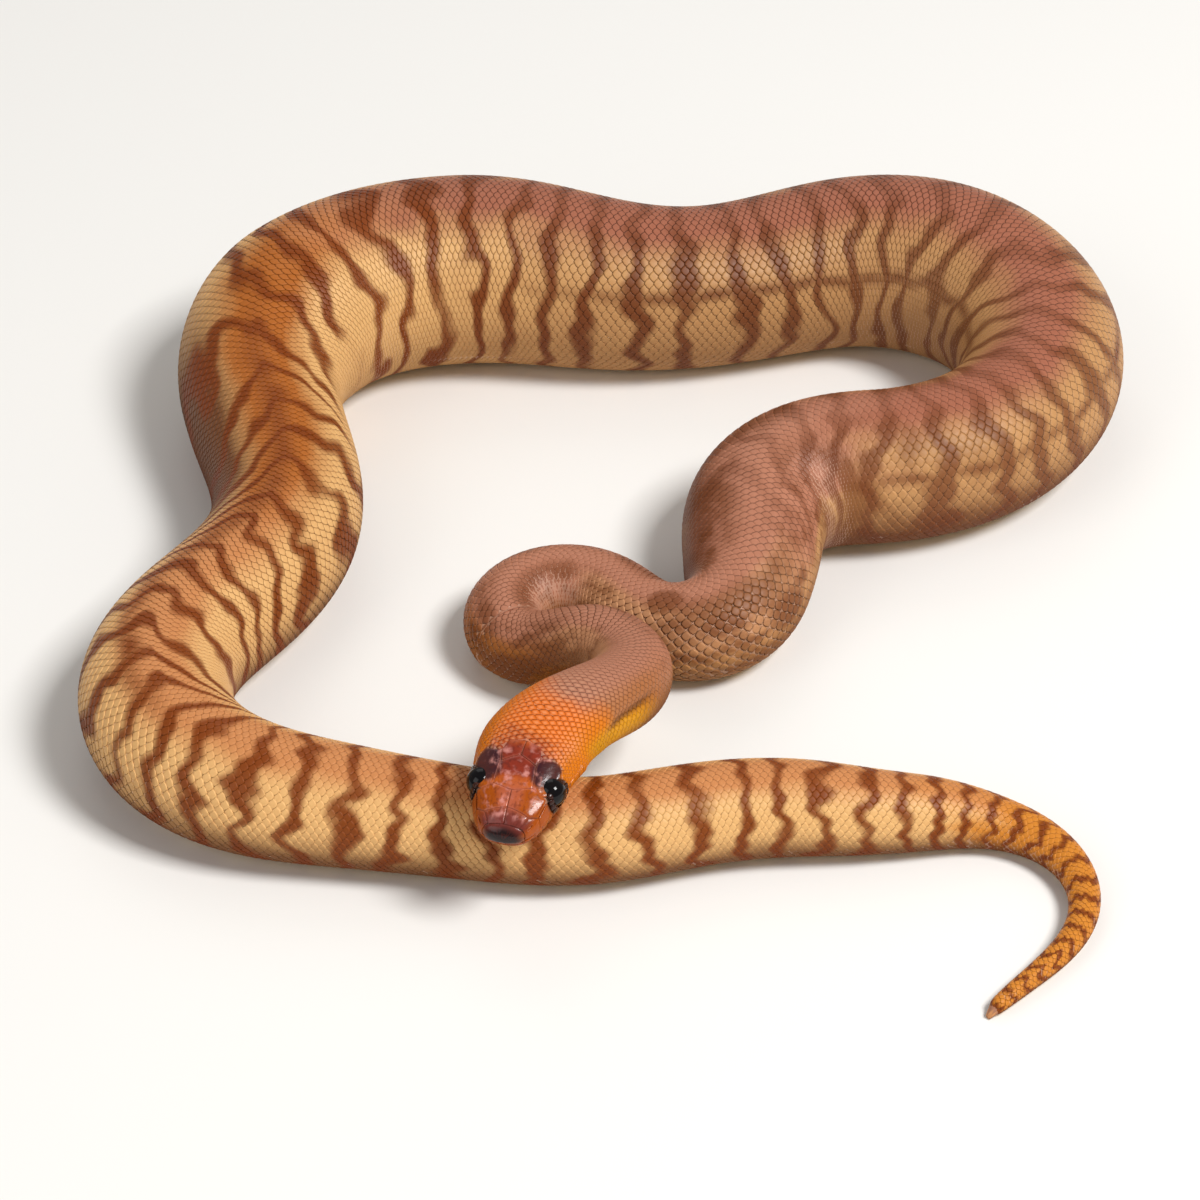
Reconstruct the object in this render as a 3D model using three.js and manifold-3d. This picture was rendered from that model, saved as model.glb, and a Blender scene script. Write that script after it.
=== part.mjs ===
// A young woma python at life size, lying still in loose coils with its chin resting on its own flank.
//
// Millimetres, +Z up. The origin is on the ground under the middle of the whole animal, and the head faces -Y.
// A place along the animal is its distance from the tip of the snout, measured over the ground.
import * as THREE from 'three';
import { mergeVertices } from 'three/addons/utils/BufferGeometryUtils.js';
import Module from 'manifold-3d';

const wasm = await Module();
wasm.setup();

// ---------------------------------------------------------------- driving sizes

const LENGTH = 634.2;
const HEAD_END = 24;
const NECK_END = 66;
const VENT = 574;
const LYING_FROM = 72; // in front of this the body is carried off the ground
const TRUNK_LENGTHS = 8;
const GAP = 0.3; // between neighbouring solids

// The facets of each length: how far apart its rings are, and how many sides it has.
const FACETS = {
  head: { ring: 0.95, sides: 24 },
  neck: { ring: 2.8, sides: 20 },
  foretrunk: { ring: 3, sides: 20 },
  trunk: { ring: 4.5, sides: 20 },
  tail: { ring: 3.2, sides: 16 },
  eye: { sides: 16, rings: 12 },
};

// The way the body lies: where the snout is, which way the body leaves it, and each bend on the way to the tail.
// A bend starts at `from`, is spread over the length `over`, and turns the body left by `turn` degrees.
const START = { x: -17.9, y: -74.4, heading: 77 };
const BENDS = [
  { from: 8, over: 14, turn: -24 },
  { from: 30, over: 36.5, turn: 110 },
  { from: 58, over: 50.5, turn: -233 },
  { from: 98.5, over: 33, turn: 151 },
  { from: 136, over: 33, turn: -114.5 },
  { from: 121, over: 206.5, turn: 297.5 },
  { from: 259, over: 52.5, turn: -87.5 },
  { from: 308.5, over: 103.5, turn: 142 },
  { from: 373, over: 58.5, turn: -83 },
  { from: 429, over: 62, turn: 115 },
  { from: 510, over: 65, turn: 82.5 },
  { from: 530.5, over: 37, turn: -69 },
  { from: 575.5, over: 49.5, turn: -138.5 },
];

// Thickness of the body behind the neck: [place, diameter].
const GIRTHS = [
  [62, 12.1], [80, 12.4], [106, 14.4], [119, 16.7], [138, 21.2], [168, 24.6], [194, 24.6], [242, 29.8], [280, 27.2],
  [324, 31.8], [352, 31.4], [380, 24.3], [420, 22.4], [450, 22.2], [512, 16.3], [556, 14.6], [576, 11.5],
  [590, 7.6], [606, 5], [624, 3.6], [632, 2.8], [LENGTH, 1],
];

// A body section is a little wider than high, with a low ridge over the spine and a belly pressed flat.
const WIDER = 1.05;
const LOWER = 0.97;
const RIDGE = 0.04;
const BELLY = 0.9;

// The head and neck: [place, half-width, height of the crown or nape over the axis, depth of the throat under it].
const HEAD_SHAPE = [
  [0, 0.6, 0.5, 0.6], [0.4, 2.3, 1.3, 1.3], [1.5, 3.7, 2.1, 2.1], [4, 5.2, 3.0, 2.9], [8.5, 6.4, 3.7, 3.6],
  [12, 7.3, 4.1, 4.0], [17, 8.1, 4.5, 4.3], [22, 7.9, 4.8, 4.5], [26, 7.4, 5.1, 4.8], [34, 6.7, 5.5, 5.2],
  [44, 6.3, 5.7, 5.3], [LYING_FROM, 6.35, 5.9, 5.45],
];
const HEAD_SQUARENESS = 0.86; // 1 is a round section; less is boxier
// How high the axis of the head and neck is carried: [place, height].
const CARRIAGE = [
  [0, 16.8], [10, 19.2], [16, 20.6], [20, 21.1], [24, 20.8], [29, 19.6], [37, 17], [47.5, 14], [56.5, 11.9],
  [62, 9.2], [67, 6.8], [LYING_FROM, 5.45],
];

const EYE = { radius: 2.1, along: 8.6, aside: 5.0, up: 1.1 };
// The closed mouth, as places along the head and depths under its axis: the front, the cheek, and the corner, where
// it turns down and runs out at the throat.
const MOUTH = {
  start: 0.9, startDepth: 0.9, cheek: 9, cheekDepth: 1.45, corner: 16.5, cornerDepth: 1.3, cornerRadius: 0.6, throat: 19,
};
const CUTTER_REACH = 12; // how far the cutting shapes stand clear of the head

const SKIN = { colour: 0xd9a869, roughness: 0.45 };
const HEAD_SKIN = { colour: 0xc8641e, roughness: 0.35 };
const NECK_SKIN = { colour: 0xb98a6a, roughness: 0.42 };
const TAIL_SKIN = { colour: 0xcf8f3f, roughness: 0.45 };
const EYE_GLOSS = { colour: 0x0b0908, roughness: 0.08 };

// ---------------------------------------------------------------- curves

/** A smooth curve through [place, value, ...] rows, with no overshoot, as a function of the place. */
function smoothCurve(rows, column = 1) {
  const places = rows.map((row) => row[0]);
  const values = rows.map((row) => row[column]);
  const slopes = [];
  for (let i = 1; i < rows.length; i += 1) {
    slopes.push((values[i] - values[i - 1]) / (places[i] - places[i - 1]));
  }
  const tangents = values.map((_, i) => {
    const before = slopes[Math.max(i - 1, 0)];
    const after = slopes[Math.min(i, slopes.length - 1)];
    return before * after <= 0 ? 0 : (2 * before * after) / (before + after);
  });
  return (place) => {
    const found = places.findIndex((other) => other >= place);
    const i = found < 0 ? places.length - 1 : Math.max(found, 1);
    const width = places[i] - places[i - 1];
    const t = THREE.MathUtils.clamp((place - places[i - 1]) / width, 0, 1);
    const rise = t * t * (3 - 2 * t);
    return values[i - 1] * (1 - rise) + values[i] * rise
      + width * (t * (1 - t) ** 2 * tangents[i - 1] - t * t * (1 - t) * tangents[i]);
  };
}

const girth = smoothCurve(GIRTHS);
const headHalfWidth = smoothCurve(HEAD_SHAPE, 1);
const headTop = smoothCurve(HEAD_SHAPE, 2);
const headBottom = smoothCurve(HEAD_SHAPE, 3);
const carriage = smoothCurve(CARRIAGE);

/** The way the body runs at a place, in radians from +X, towards the tail. */
function headingAt(place) {
  const turned = BENDS.reduce((sum, bend) => {
    const rise = THREE.MathUtils.smoothstep(place, bend.from, bend.from + bend.over);
    return sum + bend.turn * rise;
  }, START.heading);
  return THREE.MathUtils.degToRad(turned);
}

const WALK_STEP = 0.1;
const walked = [new THREE.Vector2(START.x, START.y)];
for (let place = WALK_STEP / 2; place < LENGTH; place += WALK_STEP) {
  const heading = headingAt(place);
  const last = walked[walked.length - 1];
  walked.push(last.clone().add(new THREE.Vector2(Math.cos(heading), Math.sin(heading)).multiplyScalar(WALK_STEP)));
}

/** Height of the body's axis over the ground. */
function axisHeight(place) {
  return place < LYING_FROM ? carriage(place) : (BELLY * girth(place)) / 2;
}

/** The axis point at a place with its three directions: to the tail, to the animal's left, and up out of its back. */
function frameAt(place) {
  const index = THREE.MathUtils.clamp(place / WALK_STEP, 0, walked.length - 1.001);
  const before = Math.floor(index);
  const flat = walked[before].clone().lerp(walked[before + 1], index - before);
  const heading = headingAt(place);
  const rise = place < LYING_FROM ? (axisHeight(place + WALK_STEP) - axisHeight(place)) / WALK_STEP : 0;
  const tailward = new THREE.Vector3(Math.cos(heading), Math.sin(heading), rise).normalize();
  const left = new THREE.Vector3(Math.sin(heading), -Math.cos(heading), 0);
  const up = new THREE.Vector3().crossVectors(left, tailward);
  return { point: new THREE.Vector3(flat.x, flat.y, axisHeight(place)), tailward, left, up };
}

/** Offsets from the axis at a place, to the left and up, at an angle measured from the spine to the animal's left. */
function sectionAt(place, angle) {
  const aside = Math.sin(angle);
  const upward = Math.cos(angle);
  if (place < LYING_FROM) {
    const height = upward > 0 ? headTop(place) : headBottom(place);
    const rounded = THREE.MathUtils.smoothstep(place, HEAD_END, LYING_FROM);
    const squareness = THREE.MathUtils.lerp(HEAD_SQUARENESS, 1, rounded);
    return {
      aside: headHalfWidth(place) * Math.sign(aside) * Math.abs(aside) ** squareness,
      upward: height * Math.sign(upward) * Math.abs(upward) ** squareness,
    };
  }
  const radius = girth(place) / 2;
  const ridge = RIDGE * Math.max(upward, 0) ** 6;
  return {
    aside: radius * WIDER * aside,
    upward: radius * Math.max(LOWER * upward + ridge, -BELLY),
  };
}

// ---------------------------------------------------------------- solids

/** A closed length of the body from one place to another, with flat ends square to the axis. */
function bodyLength(from, to, { ring, sides }) {
  const steps = Math.round((to - from) / ring);
  const geometry = new THREE.CylinderGeometry(1, 1, 1, sides, steps);
  geometry.deleteAttribute('normal');
  geometry.deleteAttribute('uv');
  const corner = new THREE.Vector3();
  const corners = geometry.getAttribute('position');
  for (let i = 0; i < corners.count; i += 1) {
    corner.fromBufferAttribute(corners, i);
    const place = from + (0.5 - corner.y) * (to - from);
    const out = Math.hypot(corner.x, corner.z);
    const offset = sectionAt(place, Math.atan2(-corner.x, corner.z));
    const { point, left, up } = frameAt(place);
    point.addScaledVector(left, offset.aside * out).addScaledVector(up, offset.upward * out);
    corners.setXYZ(i, point.x, point.y, point.z);
  }
  return mergeVertices(geometry, 1e-4);
}

function toSolid(geometry) {
  const welded = geometry.clone();
  welded.deleteAttribute('normal');
  welded.deleteAttribute('uv');
  const merged = mergeVertices(welded, 1e-4);
  return new wasm.Manifold(new wasm.Mesh({
    numProp: 3,
    vertProperties: new Float32Array(merged.getAttribute('position').array),
    triVerts: new Uint32Array(merged.getIndex().array),
  }));
}

function toGeometry(solid) {
  const mesh = solid.getMesh();
  const geometry = new THREE.BufferGeometry();
  geometry.setAttribute('position', new THREE.BufferAttribute(new Float32Array(mesh.vertProperties), 3));
  geometry.setIndex(new THREE.BufferAttribute(new Uint32Array(mesh.triVerts), 1));
  return geometry;
}

/** The place and directions of the head, which is straight, as a matrix: along the head, up, and to its left. */
function headMatrix() {
  const { point, tailward, left, up } = frameAt(EYE.along);
  const matrix = new THREE.Matrix4().makeBasis(tailward, up, left);
  const origin = point.addScaledVector(tailward, -EYE.along);
  return matrix.setPosition(origin);
}

function eyeCentre(side) {
  return new THREE.Vector3(EYE.along, EYE.up, side * EYE.aside).applyMatrix4(headMatrix());
}

function eyeball(radius) {
  return new THREE.SphereGeometry(radius, FACETS.eye.sides, FACETS.eye.rings);
}

/** The space under the closed mouth that the lower jaw fills, grown by a margin on the sides facing the head. */
function jawSpace(margin) {
  const { start, cheek, corner, cornerRadius, throat } = MOUTH;
  const startHeight = margin - MOUTH.startDepth;
  const cornerHeight = margin - MOUTH.cornerDepth;
  const outline = new THREE.Shape([
    new THREE.Vector2(-CUTTER_REACH, -CUTTER_REACH),
    new THREE.Vector2(throat + margin, -CUTTER_REACH),
    new THREE.Vector2(corner + margin, cornerHeight - cornerRadius),
    new THREE.Vector2(corner - cornerRadius + margin, cornerHeight),
    new THREE.Vector2(cheek, margin - MOUTH.cheekDepth),
    new THREE.Vector2(start, startHeight),
    new THREE.Vector2(-CUTTER_REACH, startHeight),
  ]);
  const geometry = new THREE.ExtrudeGeometry(outline, { depth: 2 * CUTTER_REACH, bevelEnabled: false });
  geometry.translate(0, 0, -CUTTER_REACH);
  return geometry.applyMatrix4(headMatrix());
}

/** Everything in front of the chin, which stands back under the tip of the snout. */
function spaceBeforeChin() {
  const geometry = new THREE.BoxGeometry(CUTTER_REACH, 2 * CUTTER_REACH, 2 * CUTTER_REACH);
  geometry.translate(MOUTH.start - CUTTER_REACH / 2, 0, 0);
  return geometry.applyMatrix4(headMatrix());
}

function buildHead() {
  const whole = toSolid(bodyLength(0, HEAD_END - GAP / 2, FACETS.head));
  const sockets = [-1, 1].map((side) => {
    const centre = eyeCentre(side);
    return toSolid(eyeball(EYE.radius + GAP).translate(centre.x, centre.y, centre.z));
  });
  const upper = sockets.reduce((head, socket) => head.subtract(socket), whole.subtract(toSolid(jawSpace(GAP))));
  const lower = whole.intersect(toSolid(jawSpace(0))).subtract(toSolid(spaceBeforeChin()));
  return { upper: toGeometry(upper), lower: toGeometry(lower) };
}

// ---------------------------------------------------------------- the animal

const python = new THREE.Group();

function addNode(name, geometry, finish, position = new THREE.Vector3()) {
  geometry.computeVertexNormals();
  const material = new THREE.MeshStandardMaterial({
    color: finish.colour,
    roughness: finish.roughness,
    metalness: 0,
    flatShading: true,
  });
  const mesh = new THREE.Mesh(geometry, material);
  mesh.name = name;
  mesh.position.copy(position);
  python.add(mesh);
}

const head = buildHead();
addNode('head', head.upper, HEAD_SKIN);
addNode('lower_jaw', head.lower, HEAD_SKIN);
addNode('eye_left', eyeball(EYE.radius), EYE_GLOSS, eyeCentre(1));
addNode('eye_right', eyeball(EYE.radius), EYE_GLOSS, eyeCentre(-1));
addNode('neck', bodyLength(HEAD_END + GAP / 2, NECK_END - GAP / 2, FACETS.neck), NECK_SKIN);

const trunkLength = (VENT - NECK_END) / TRUNK_LENGTHS;
for (let i = 0; i < TRUNK_LENGTHS; i += 1) {
  const from = NECK_END + i * trunkLength;
  const facets = i === 0 ? FACETS.foretrunk : FACETS.trunk;
  addNode(`trunk_${i + 1}`, bodyLength(from + GAP / 2, from + trunkLength - GAP / 2, facets), SKIN);
}
addNode('tail', bodyLength(VENT + GAP / 2, LENGTH, FACETS.tail), TAIL_SKIN);

export default python;
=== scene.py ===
"""A young woma python at life size, lying still in loose bends with its chin over its own flank.

One skin runs from the snout to the tip of the tail. Over it lie the scales: small rhombs in slanting rows
on the back and flanks, wide scutes under the belly, and plates on the head. Lengths here are millimetres
along or across the animal and are turned to metres where a mesh is made. A place is the distance from the
tip of the snout over the ground, and an angle goes round the body from the spine, positive to the animal's
left.
"""

import logging
import math
from collections.abc import Callable, Sequence
from dataclasses import dataclass, field, fields
from enum import Enum
from typing import Any

import bmesh
import bpy
import numpy as np
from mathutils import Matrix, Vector

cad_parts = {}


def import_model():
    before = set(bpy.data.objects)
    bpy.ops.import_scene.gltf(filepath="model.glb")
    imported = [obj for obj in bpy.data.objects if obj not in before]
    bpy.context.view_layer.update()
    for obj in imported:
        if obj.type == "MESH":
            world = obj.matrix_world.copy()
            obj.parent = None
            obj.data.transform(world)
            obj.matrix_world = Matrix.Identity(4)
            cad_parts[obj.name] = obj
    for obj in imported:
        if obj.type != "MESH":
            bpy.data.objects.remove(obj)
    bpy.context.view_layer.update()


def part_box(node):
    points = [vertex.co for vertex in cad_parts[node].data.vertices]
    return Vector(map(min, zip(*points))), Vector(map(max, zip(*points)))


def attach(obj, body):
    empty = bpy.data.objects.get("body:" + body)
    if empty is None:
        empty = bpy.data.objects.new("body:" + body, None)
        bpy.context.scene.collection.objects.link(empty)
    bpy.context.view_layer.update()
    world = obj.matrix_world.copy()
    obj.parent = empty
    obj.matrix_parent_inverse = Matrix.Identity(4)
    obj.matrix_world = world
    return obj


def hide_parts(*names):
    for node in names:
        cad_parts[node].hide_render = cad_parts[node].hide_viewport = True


MM = 0.001
TINY = 1e-6
HALF_TURN = 180.0
BAKE_MAP = "OFBake"
PLACE_MAP = "place"
BAND_MAP = "bands"
FORM_MAP = "form"
log = logging.getLogger("woma")

Edges = tuple[float, float]
Rows = tuple[tuple[float, ...], ...]
Tint = tuple[int, int, int]


# ---------------------------------------------------------------- shape of the animal


class Curve:
    """A smooth curve through rows of (place, value), with no overshoot."""

    def __init__(self, rows: Sequence[Sequence[float]], column: int = 1) -> None:
        """Takes the places and one column of values from the rows.

        Args:
            rows: rows that start with a place, in order.
            column: which entry of each row is the value.
        """
        self.places = np.array([row[0] for row in rows], float)
        self.values = np.array([row[column] for row in rows], float)
        slopes = np.diff(self.values) / np.diff(self.places)
        before = np.concatenate([slopes[:1], slopes])
        after = np.concatenate([slopes, slopes[-1:]])
        total = np.where(before + after == 0, 1, before + after)
        self.tangents = np.where(before * after <= 0, 0, 2 * before * after / total)

    def __call__(self, place: np.ndarray) -> np.ndarray:
        """Gives the curve's value at each place.

        Args:
            place: places along the animal.

        Returns:
            One value for each place.
        """
        place = np.asarray(place, float)
        i = np.clip(np.searchsorted(self.places, place), 1, len(self.places) - 1)
        width = self.places[i] - self.places[i - 1]
        t = np.clip((place - self.places[i - 1]) / width, 0, 1)
        rise = smooth_step(t, 0, 1)
        ends = self.values[i - 1] * (1 - rise) + self.values[i] * rise
        leaving = t * (1 - t) ** 2 * self.tangents[i - 1]
        arriving = t * t * (1 - t) * self.tangents[i]
        return ends + width * (leaving - arriving)


def smooth_step(value: np.ndarray, low: float, high: float) -> np.ndarray:
    """Rises smoothly from 0 at low to 1 at high."""
    t = np.clip((np.asarray(value, float) - low) / (high - low), 0, 1)
    return t * t * (3 - 2 * t)


def swell(value: np.ndarray, middle: float, reach: float, sharpness: int = 2) -> np.ndarray:
    """Is 1 at the middle and falls softly on both sides, to about a third at the reach."""
    return np.exp(-(np.abs((value - middle) / reach) ** sharpness))


def between(value: np.ndarray, edges: Sequence[float]) -> np.ndarray:
    """Rises smoothly from 0 to 1 over the first two edges and falls back over the last two."""
    return smooth_step(value, edges[0], edges[1]) * (1 - smooth_step(value, edges[2], edges[3]))


@dataclass(frozen=True)
class Bend:
    """A bend of the body: its start, the length it is spread over, and the degrees that it turns left."""

    start: float
    over: float
    turn: float


@dataclass
class Body:
    """The way the animal lies and how thick it is, as smooth functions of the place."""

    length: float = 634.2
    head_end: float = 24.0
    neck_end: float = 66.0
    vent: float = 574.0
    lying_from: float = 72.0
    start: tuple[float, float] = (-17.9, -74.4)
    heading: float = 77.0
    bends: tuple[Bend, ...] = (
        Bend(8, 14, -24),
        Bend(30, 36.5, 110),
        Bend(58, 50.5, -233),
        Bend(98.5, 33, 151),
        Bend(136, 33, -114.5),
        Bend(121, 206.5, 297.5),
        Bend(259, 52.5, -87.5),
        Bend(308.5, 103.5, 142),
        Bend(373, 58.5, -83),
        Bend(429, 62, 115),
        Bend(510, 65, 82.5),
        Bend(530.5, 37, -69),
        Bend(575.5, 49.5, -138.5),
    )
    girths: Rows = (
        (62, 12.1), (80, 12.4), (106, 14.4), (119, 16.7), (138, 21.2), (168, 24.6), (194, 24.6), (242, 29.8),
        (280, 27.2), (324, 31.8), (352, 31.4), (380, 24.3), (420, 22.4), (450, 22.2), (512, 16.3),
        (556, 14.6), (576, 11.5), (590, 7.6), (606, 5), (624, 3.6), (632, 2.8), (634.2, 1),
    )
    head_shape: Rows = (
        (0, 0.6, 0.5, 0.6), (0.4, 2.3, 1.3, 1.3), (1.5, 3.7, 2.1, 2.1), (4, 5.2, 3.0, 2.9),
        (8.5, 6.4, 3.7, 3.6), (12, 7.3, 4.1, 4.0), (17, 8.1, 4.5, 4.3), (22, 7.9, 4.8, 4.5),
        (26, 7.4, 5.1, 4.8), (34, 6.7, 5.5, 5.2), (44, 6.3, 5.7, 5.3), (72, 6.35, 5.9, 5.45),
    )
    carriage: Rows = (
        (0, 16.8), (10, 19.2), (16, 20.6), (20, 21.1), (24, 20.8), (29, 19.6), (37, 17), (47.5, 14),
        (56.5, 11.9), (62, 9.2), (67, 6.8), (72, 5.45),
    )
    wider: float = 1.05
    lower: float = 0.97
    ridge: float = 0.04
    ridge_sharpness: int = 6
    belly: float = 0.9
    head_squareness: float = 0.86
    snout_cap: float = 0.4
    snout_lean: float = 30.0
    leans: Edges = (-3.0, 6.0)
    walk_step: float = 0.1
    probe: float = 0.02
    stretch_probe: float = 0.25
    relief: Callable[[np.ndarray, np.ndarray], np.ndarray] | None = None

    def __post_init__(self) -> None:
        """Walks the route once and readies the curves."""
        self.girth = Curve(self.girths)
        self.half_width = Curve(self.head_shape, 1)
        self.crown = Curve(self.head_shape, 2)
        self.throat = Curve(self.head_shape, 3)
        self.carried = Curve(self.carriage)
        self.stops = np.arange(0, self.length + self.walk_step / 2, self.walk_step)
        heading = self.heading_at(self.stops[:-1] + self.walk_step / 2)
        east = np.cumsum(np.cos(heading)) * self.walk_step
        north = np.cumsum(np.sin(heading)) * self.walk_step
        self.east = self.start[0] + np.concatenate([[0], east])
        self.north = self.start[1] + np.concatenate([[0], north])

    def heading_at(self, place: np.ndarray) -> np.ndarray:
        """Gives the way the body runs towards the tail.

        Args:
            place: places along the animal.

        Returns:
            The way at each place, in radians from +X.
        """
        turned = np.full(np.shape(place), self.heading)
        for bend in self.bends:
            turned = turned + bend.turn * smooth_step(place, bend.start, bend.start + bend.over)
        return np.radians(turned)

    def height_at(self, place: np.ndarray) -> np.ndarray:
        """Gives the height of the body's axis over the ground."""
        return np.where(place < self.lying_from, self.carried(place), self.belly * self.girth(place) / 2)

    def frame_at(self, place: np.ndarray) -> tuple[np.ndarray, np.ndarray, np.ndarray, np.ndarray]:
        """Gives the axis point at each place with the directions to the tail, to the left and up.

        Args:
            place: places along the animal.

        Returns:
            Four arrays with one row of x, y and z for each place.
        """
        held = np.clip(place, 0, self.length)
        heading = self.heading_at(held)
        rise = (self.height_at(held + self.walk_step) - self.height_at(held)) / self.walk_step
        rise = np.where(held < self.lying_from, rise, 0)
        tailward = np.stack([np.cos(heading), np.sin(heading), rise], -1)
        tailward /= np.linalg.norm(tailward, axis=-1, keepdims=True)
        left = np.stack([np.sin(heading), -np.cos(heading), np.zeros_like(heading)], -1)
        east = np.interp(held, self.stops, self.east)
        north = np.interp(held, self.stops, self.north)
        centre = np.stack([east, north, self.height_at(held)], -1)
        return centre, tailward, left, np.cross(left, tailward)

    def section_at(self, place: np.ndarray, angle: np.ndarray) -> tuple[np.ndarray, np.ndarray]:
        """Gives the outline of the body's section.

        Args:
            place: places along the animal.
            angle: angles round the body from the spine, in radians.

        Returns:
            How far the outline stands to the left of the axis, and how far above it.
        """
        aside = np.sin(angle)
        upward = np.cos(angle)
        rounded = smooth_step(place, self.head_end, self.lying_from)
        squareness = self.head_squareness + (1 - self.head_squareness) * rounded
        height = np.where(upward > 0, self.crown(place), self.throat(place))
        carried_aside = self.half_width(place) * np.sign(aside) * np.abs(aside) ** squareness
        carried_up = height * np.sign(upward) * np.abs(upward) ** squareness
        radius = self.girth(place) / 2
        lying_aside = radius * self.wider * aside
        ridge = self.ridge * np.maximum(upward, 0) ** self.ridge_sharpness
        lying_up = radius * np.maximum(self.lower * upward + ridge, -self.belly)
        carried = place < self.lying_from
        cap = np.clip(1 + np.minimum(place, 0) / self.snout_cap, 0, 1)
        return (
            np.where(carried, carried_aside, lying_aside) * cap,
            np.where(carried, carried_up, lying_up) * cap,
        )

    def surface_at(self, place: np.ndarray, angle: np.ndarray, lift: np.ndarray) -> np.ndarray:
        """Gives points on the animal's surface, or over it by the lift.

        Args:
            place: places along the animal.
            angle: angles round the body, in radians.
            lift: how far the points stand over the surface.

        Returns:
            One row of x, y and z for each point.
        """
        aside, upward = self.section_at(place, angle)
        aside_after, up_after = self.section_at(place, angle + self.probe)
        aside_before, up_before = self.section_at(place, angle - self.probe)
        size = np.maximum(np.hypot(aside_after - aside_before, up_after - up_before), TINY)
        out_aside = -(up_after - up_before) / size
        out_up = (aside_after - aside_before) / size
        aside_behind, up_behind = self.section_at(np.maximum(place, 0) + self.probe, angle)
        aside_ahead, up_ahead = self.section_at(np.maximum(place - self.probe, 0), angle)
        widening = (aside_behind - aside_ahead) * out_aside + (up_behind - up_ahead) * out_up
        lean = np.where(place < 0, self.snout_lean, np.clip(widening / (2 * self.probe), *self.leans))
        lean = np.where(place < self.lying_from, lean, 0)
        whole = np.sqrt(1 + lean**2)
        if self.relief is not None:
            lift = lift + self.relief(place, angle)
        centre, tailward, left, up = self.frame_at(place)
        aside = aside + lift * out_aside / whole
        upward = upward + lift * out_up / whole
        forward = -lift * lean / whole
        return centre + left * aside[..., None] + up * upward[..., None] + tailward * forward[..., None]

    def stretch_at(self, place: np.ndarray, angle: np.ndarray) -> np.ndarray:
        """Gives how much the skin is stretched along the body by its bends.

        Args:
            place: places along the animal.
            angle: angles round the body, in radians.

        Returns:
            1 where the body is straight, and more on the outside of a bend.
        """
        still = np.zeros_like(place)
        ahead = self.surface_at(place + self.stretch_probe, angle, still)
        behind = self.surface_at(place - self.stretch_probe, angle, still)
        return np.linalg.norm(ahead - behind, axis=-1) / (2 * self.stretch_probe)


@dataclass
class Mouth:
    """The line of the closed mouth on the side of the head."""

    corner: float = 16.5
    depths: Rows = ((0, 0.9), (0.9, 0.9), (9, 1.45), (15.9, 1.3), (16.5, 1.6), (19, 3.2))
    deepest: float = 0.98

    def line_at(self, body: Body, place: np.ndarray) -> np.ndarray:
        """Gives the angle round the head of the mouth's line.

        Args:
            body: the animal's form.
            place: places along the head.

        Returns:
            The angle at each place, in radians.
        """
        depth = Curve(self.depths)(place)
        share = np.clip(depth / body.throat(place), 0, self.deepest) ** (1 / body.head_squareness)
        return math.pi / 2 + np.arcsin(share)


@dataclass
class Eye:
    """Where an eye sits on the left of the head, with its socket and brow. The right one is its mirror."""

    along: float = 8.6
    aside: float = 5.0
    upward: float = 1.1
    socket_depth: float = 0.06
    socket_reach: float = 1.7
    socket_sharpness: int = 4
    outward_share: float = 0.8
    brow: float = 0.34

    def angle(self) -> float:
        """Gives the angle round the head at which the eye looks out."""
        return math.atan2(self.aside, self.upward)

    def distance(self, body: Body, place: np.ndarray, angle: np.ndarray) -> np.ndarray:
        """Gives how far points of the head's side are from the middle of the eye, over the surface.

        Args:
            body: the animal's form.
            place: places along the head.
            angle: angles round it, in radians.

        Returns:
            The distance of each point, in millimetres.
        """
        aside, upward = body.section_at(place, angle)
        across = np.hypot(np.abs(aside) - self.aside, upward - self.upward)
        outward = body.half_width(np.array([self.along]))[0] - self.aside
        across = np.sqrt(np.maximum(across**2 - outward**2 * self.outward_share, 0))
        return np.hypot(place - self.along, across)


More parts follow.
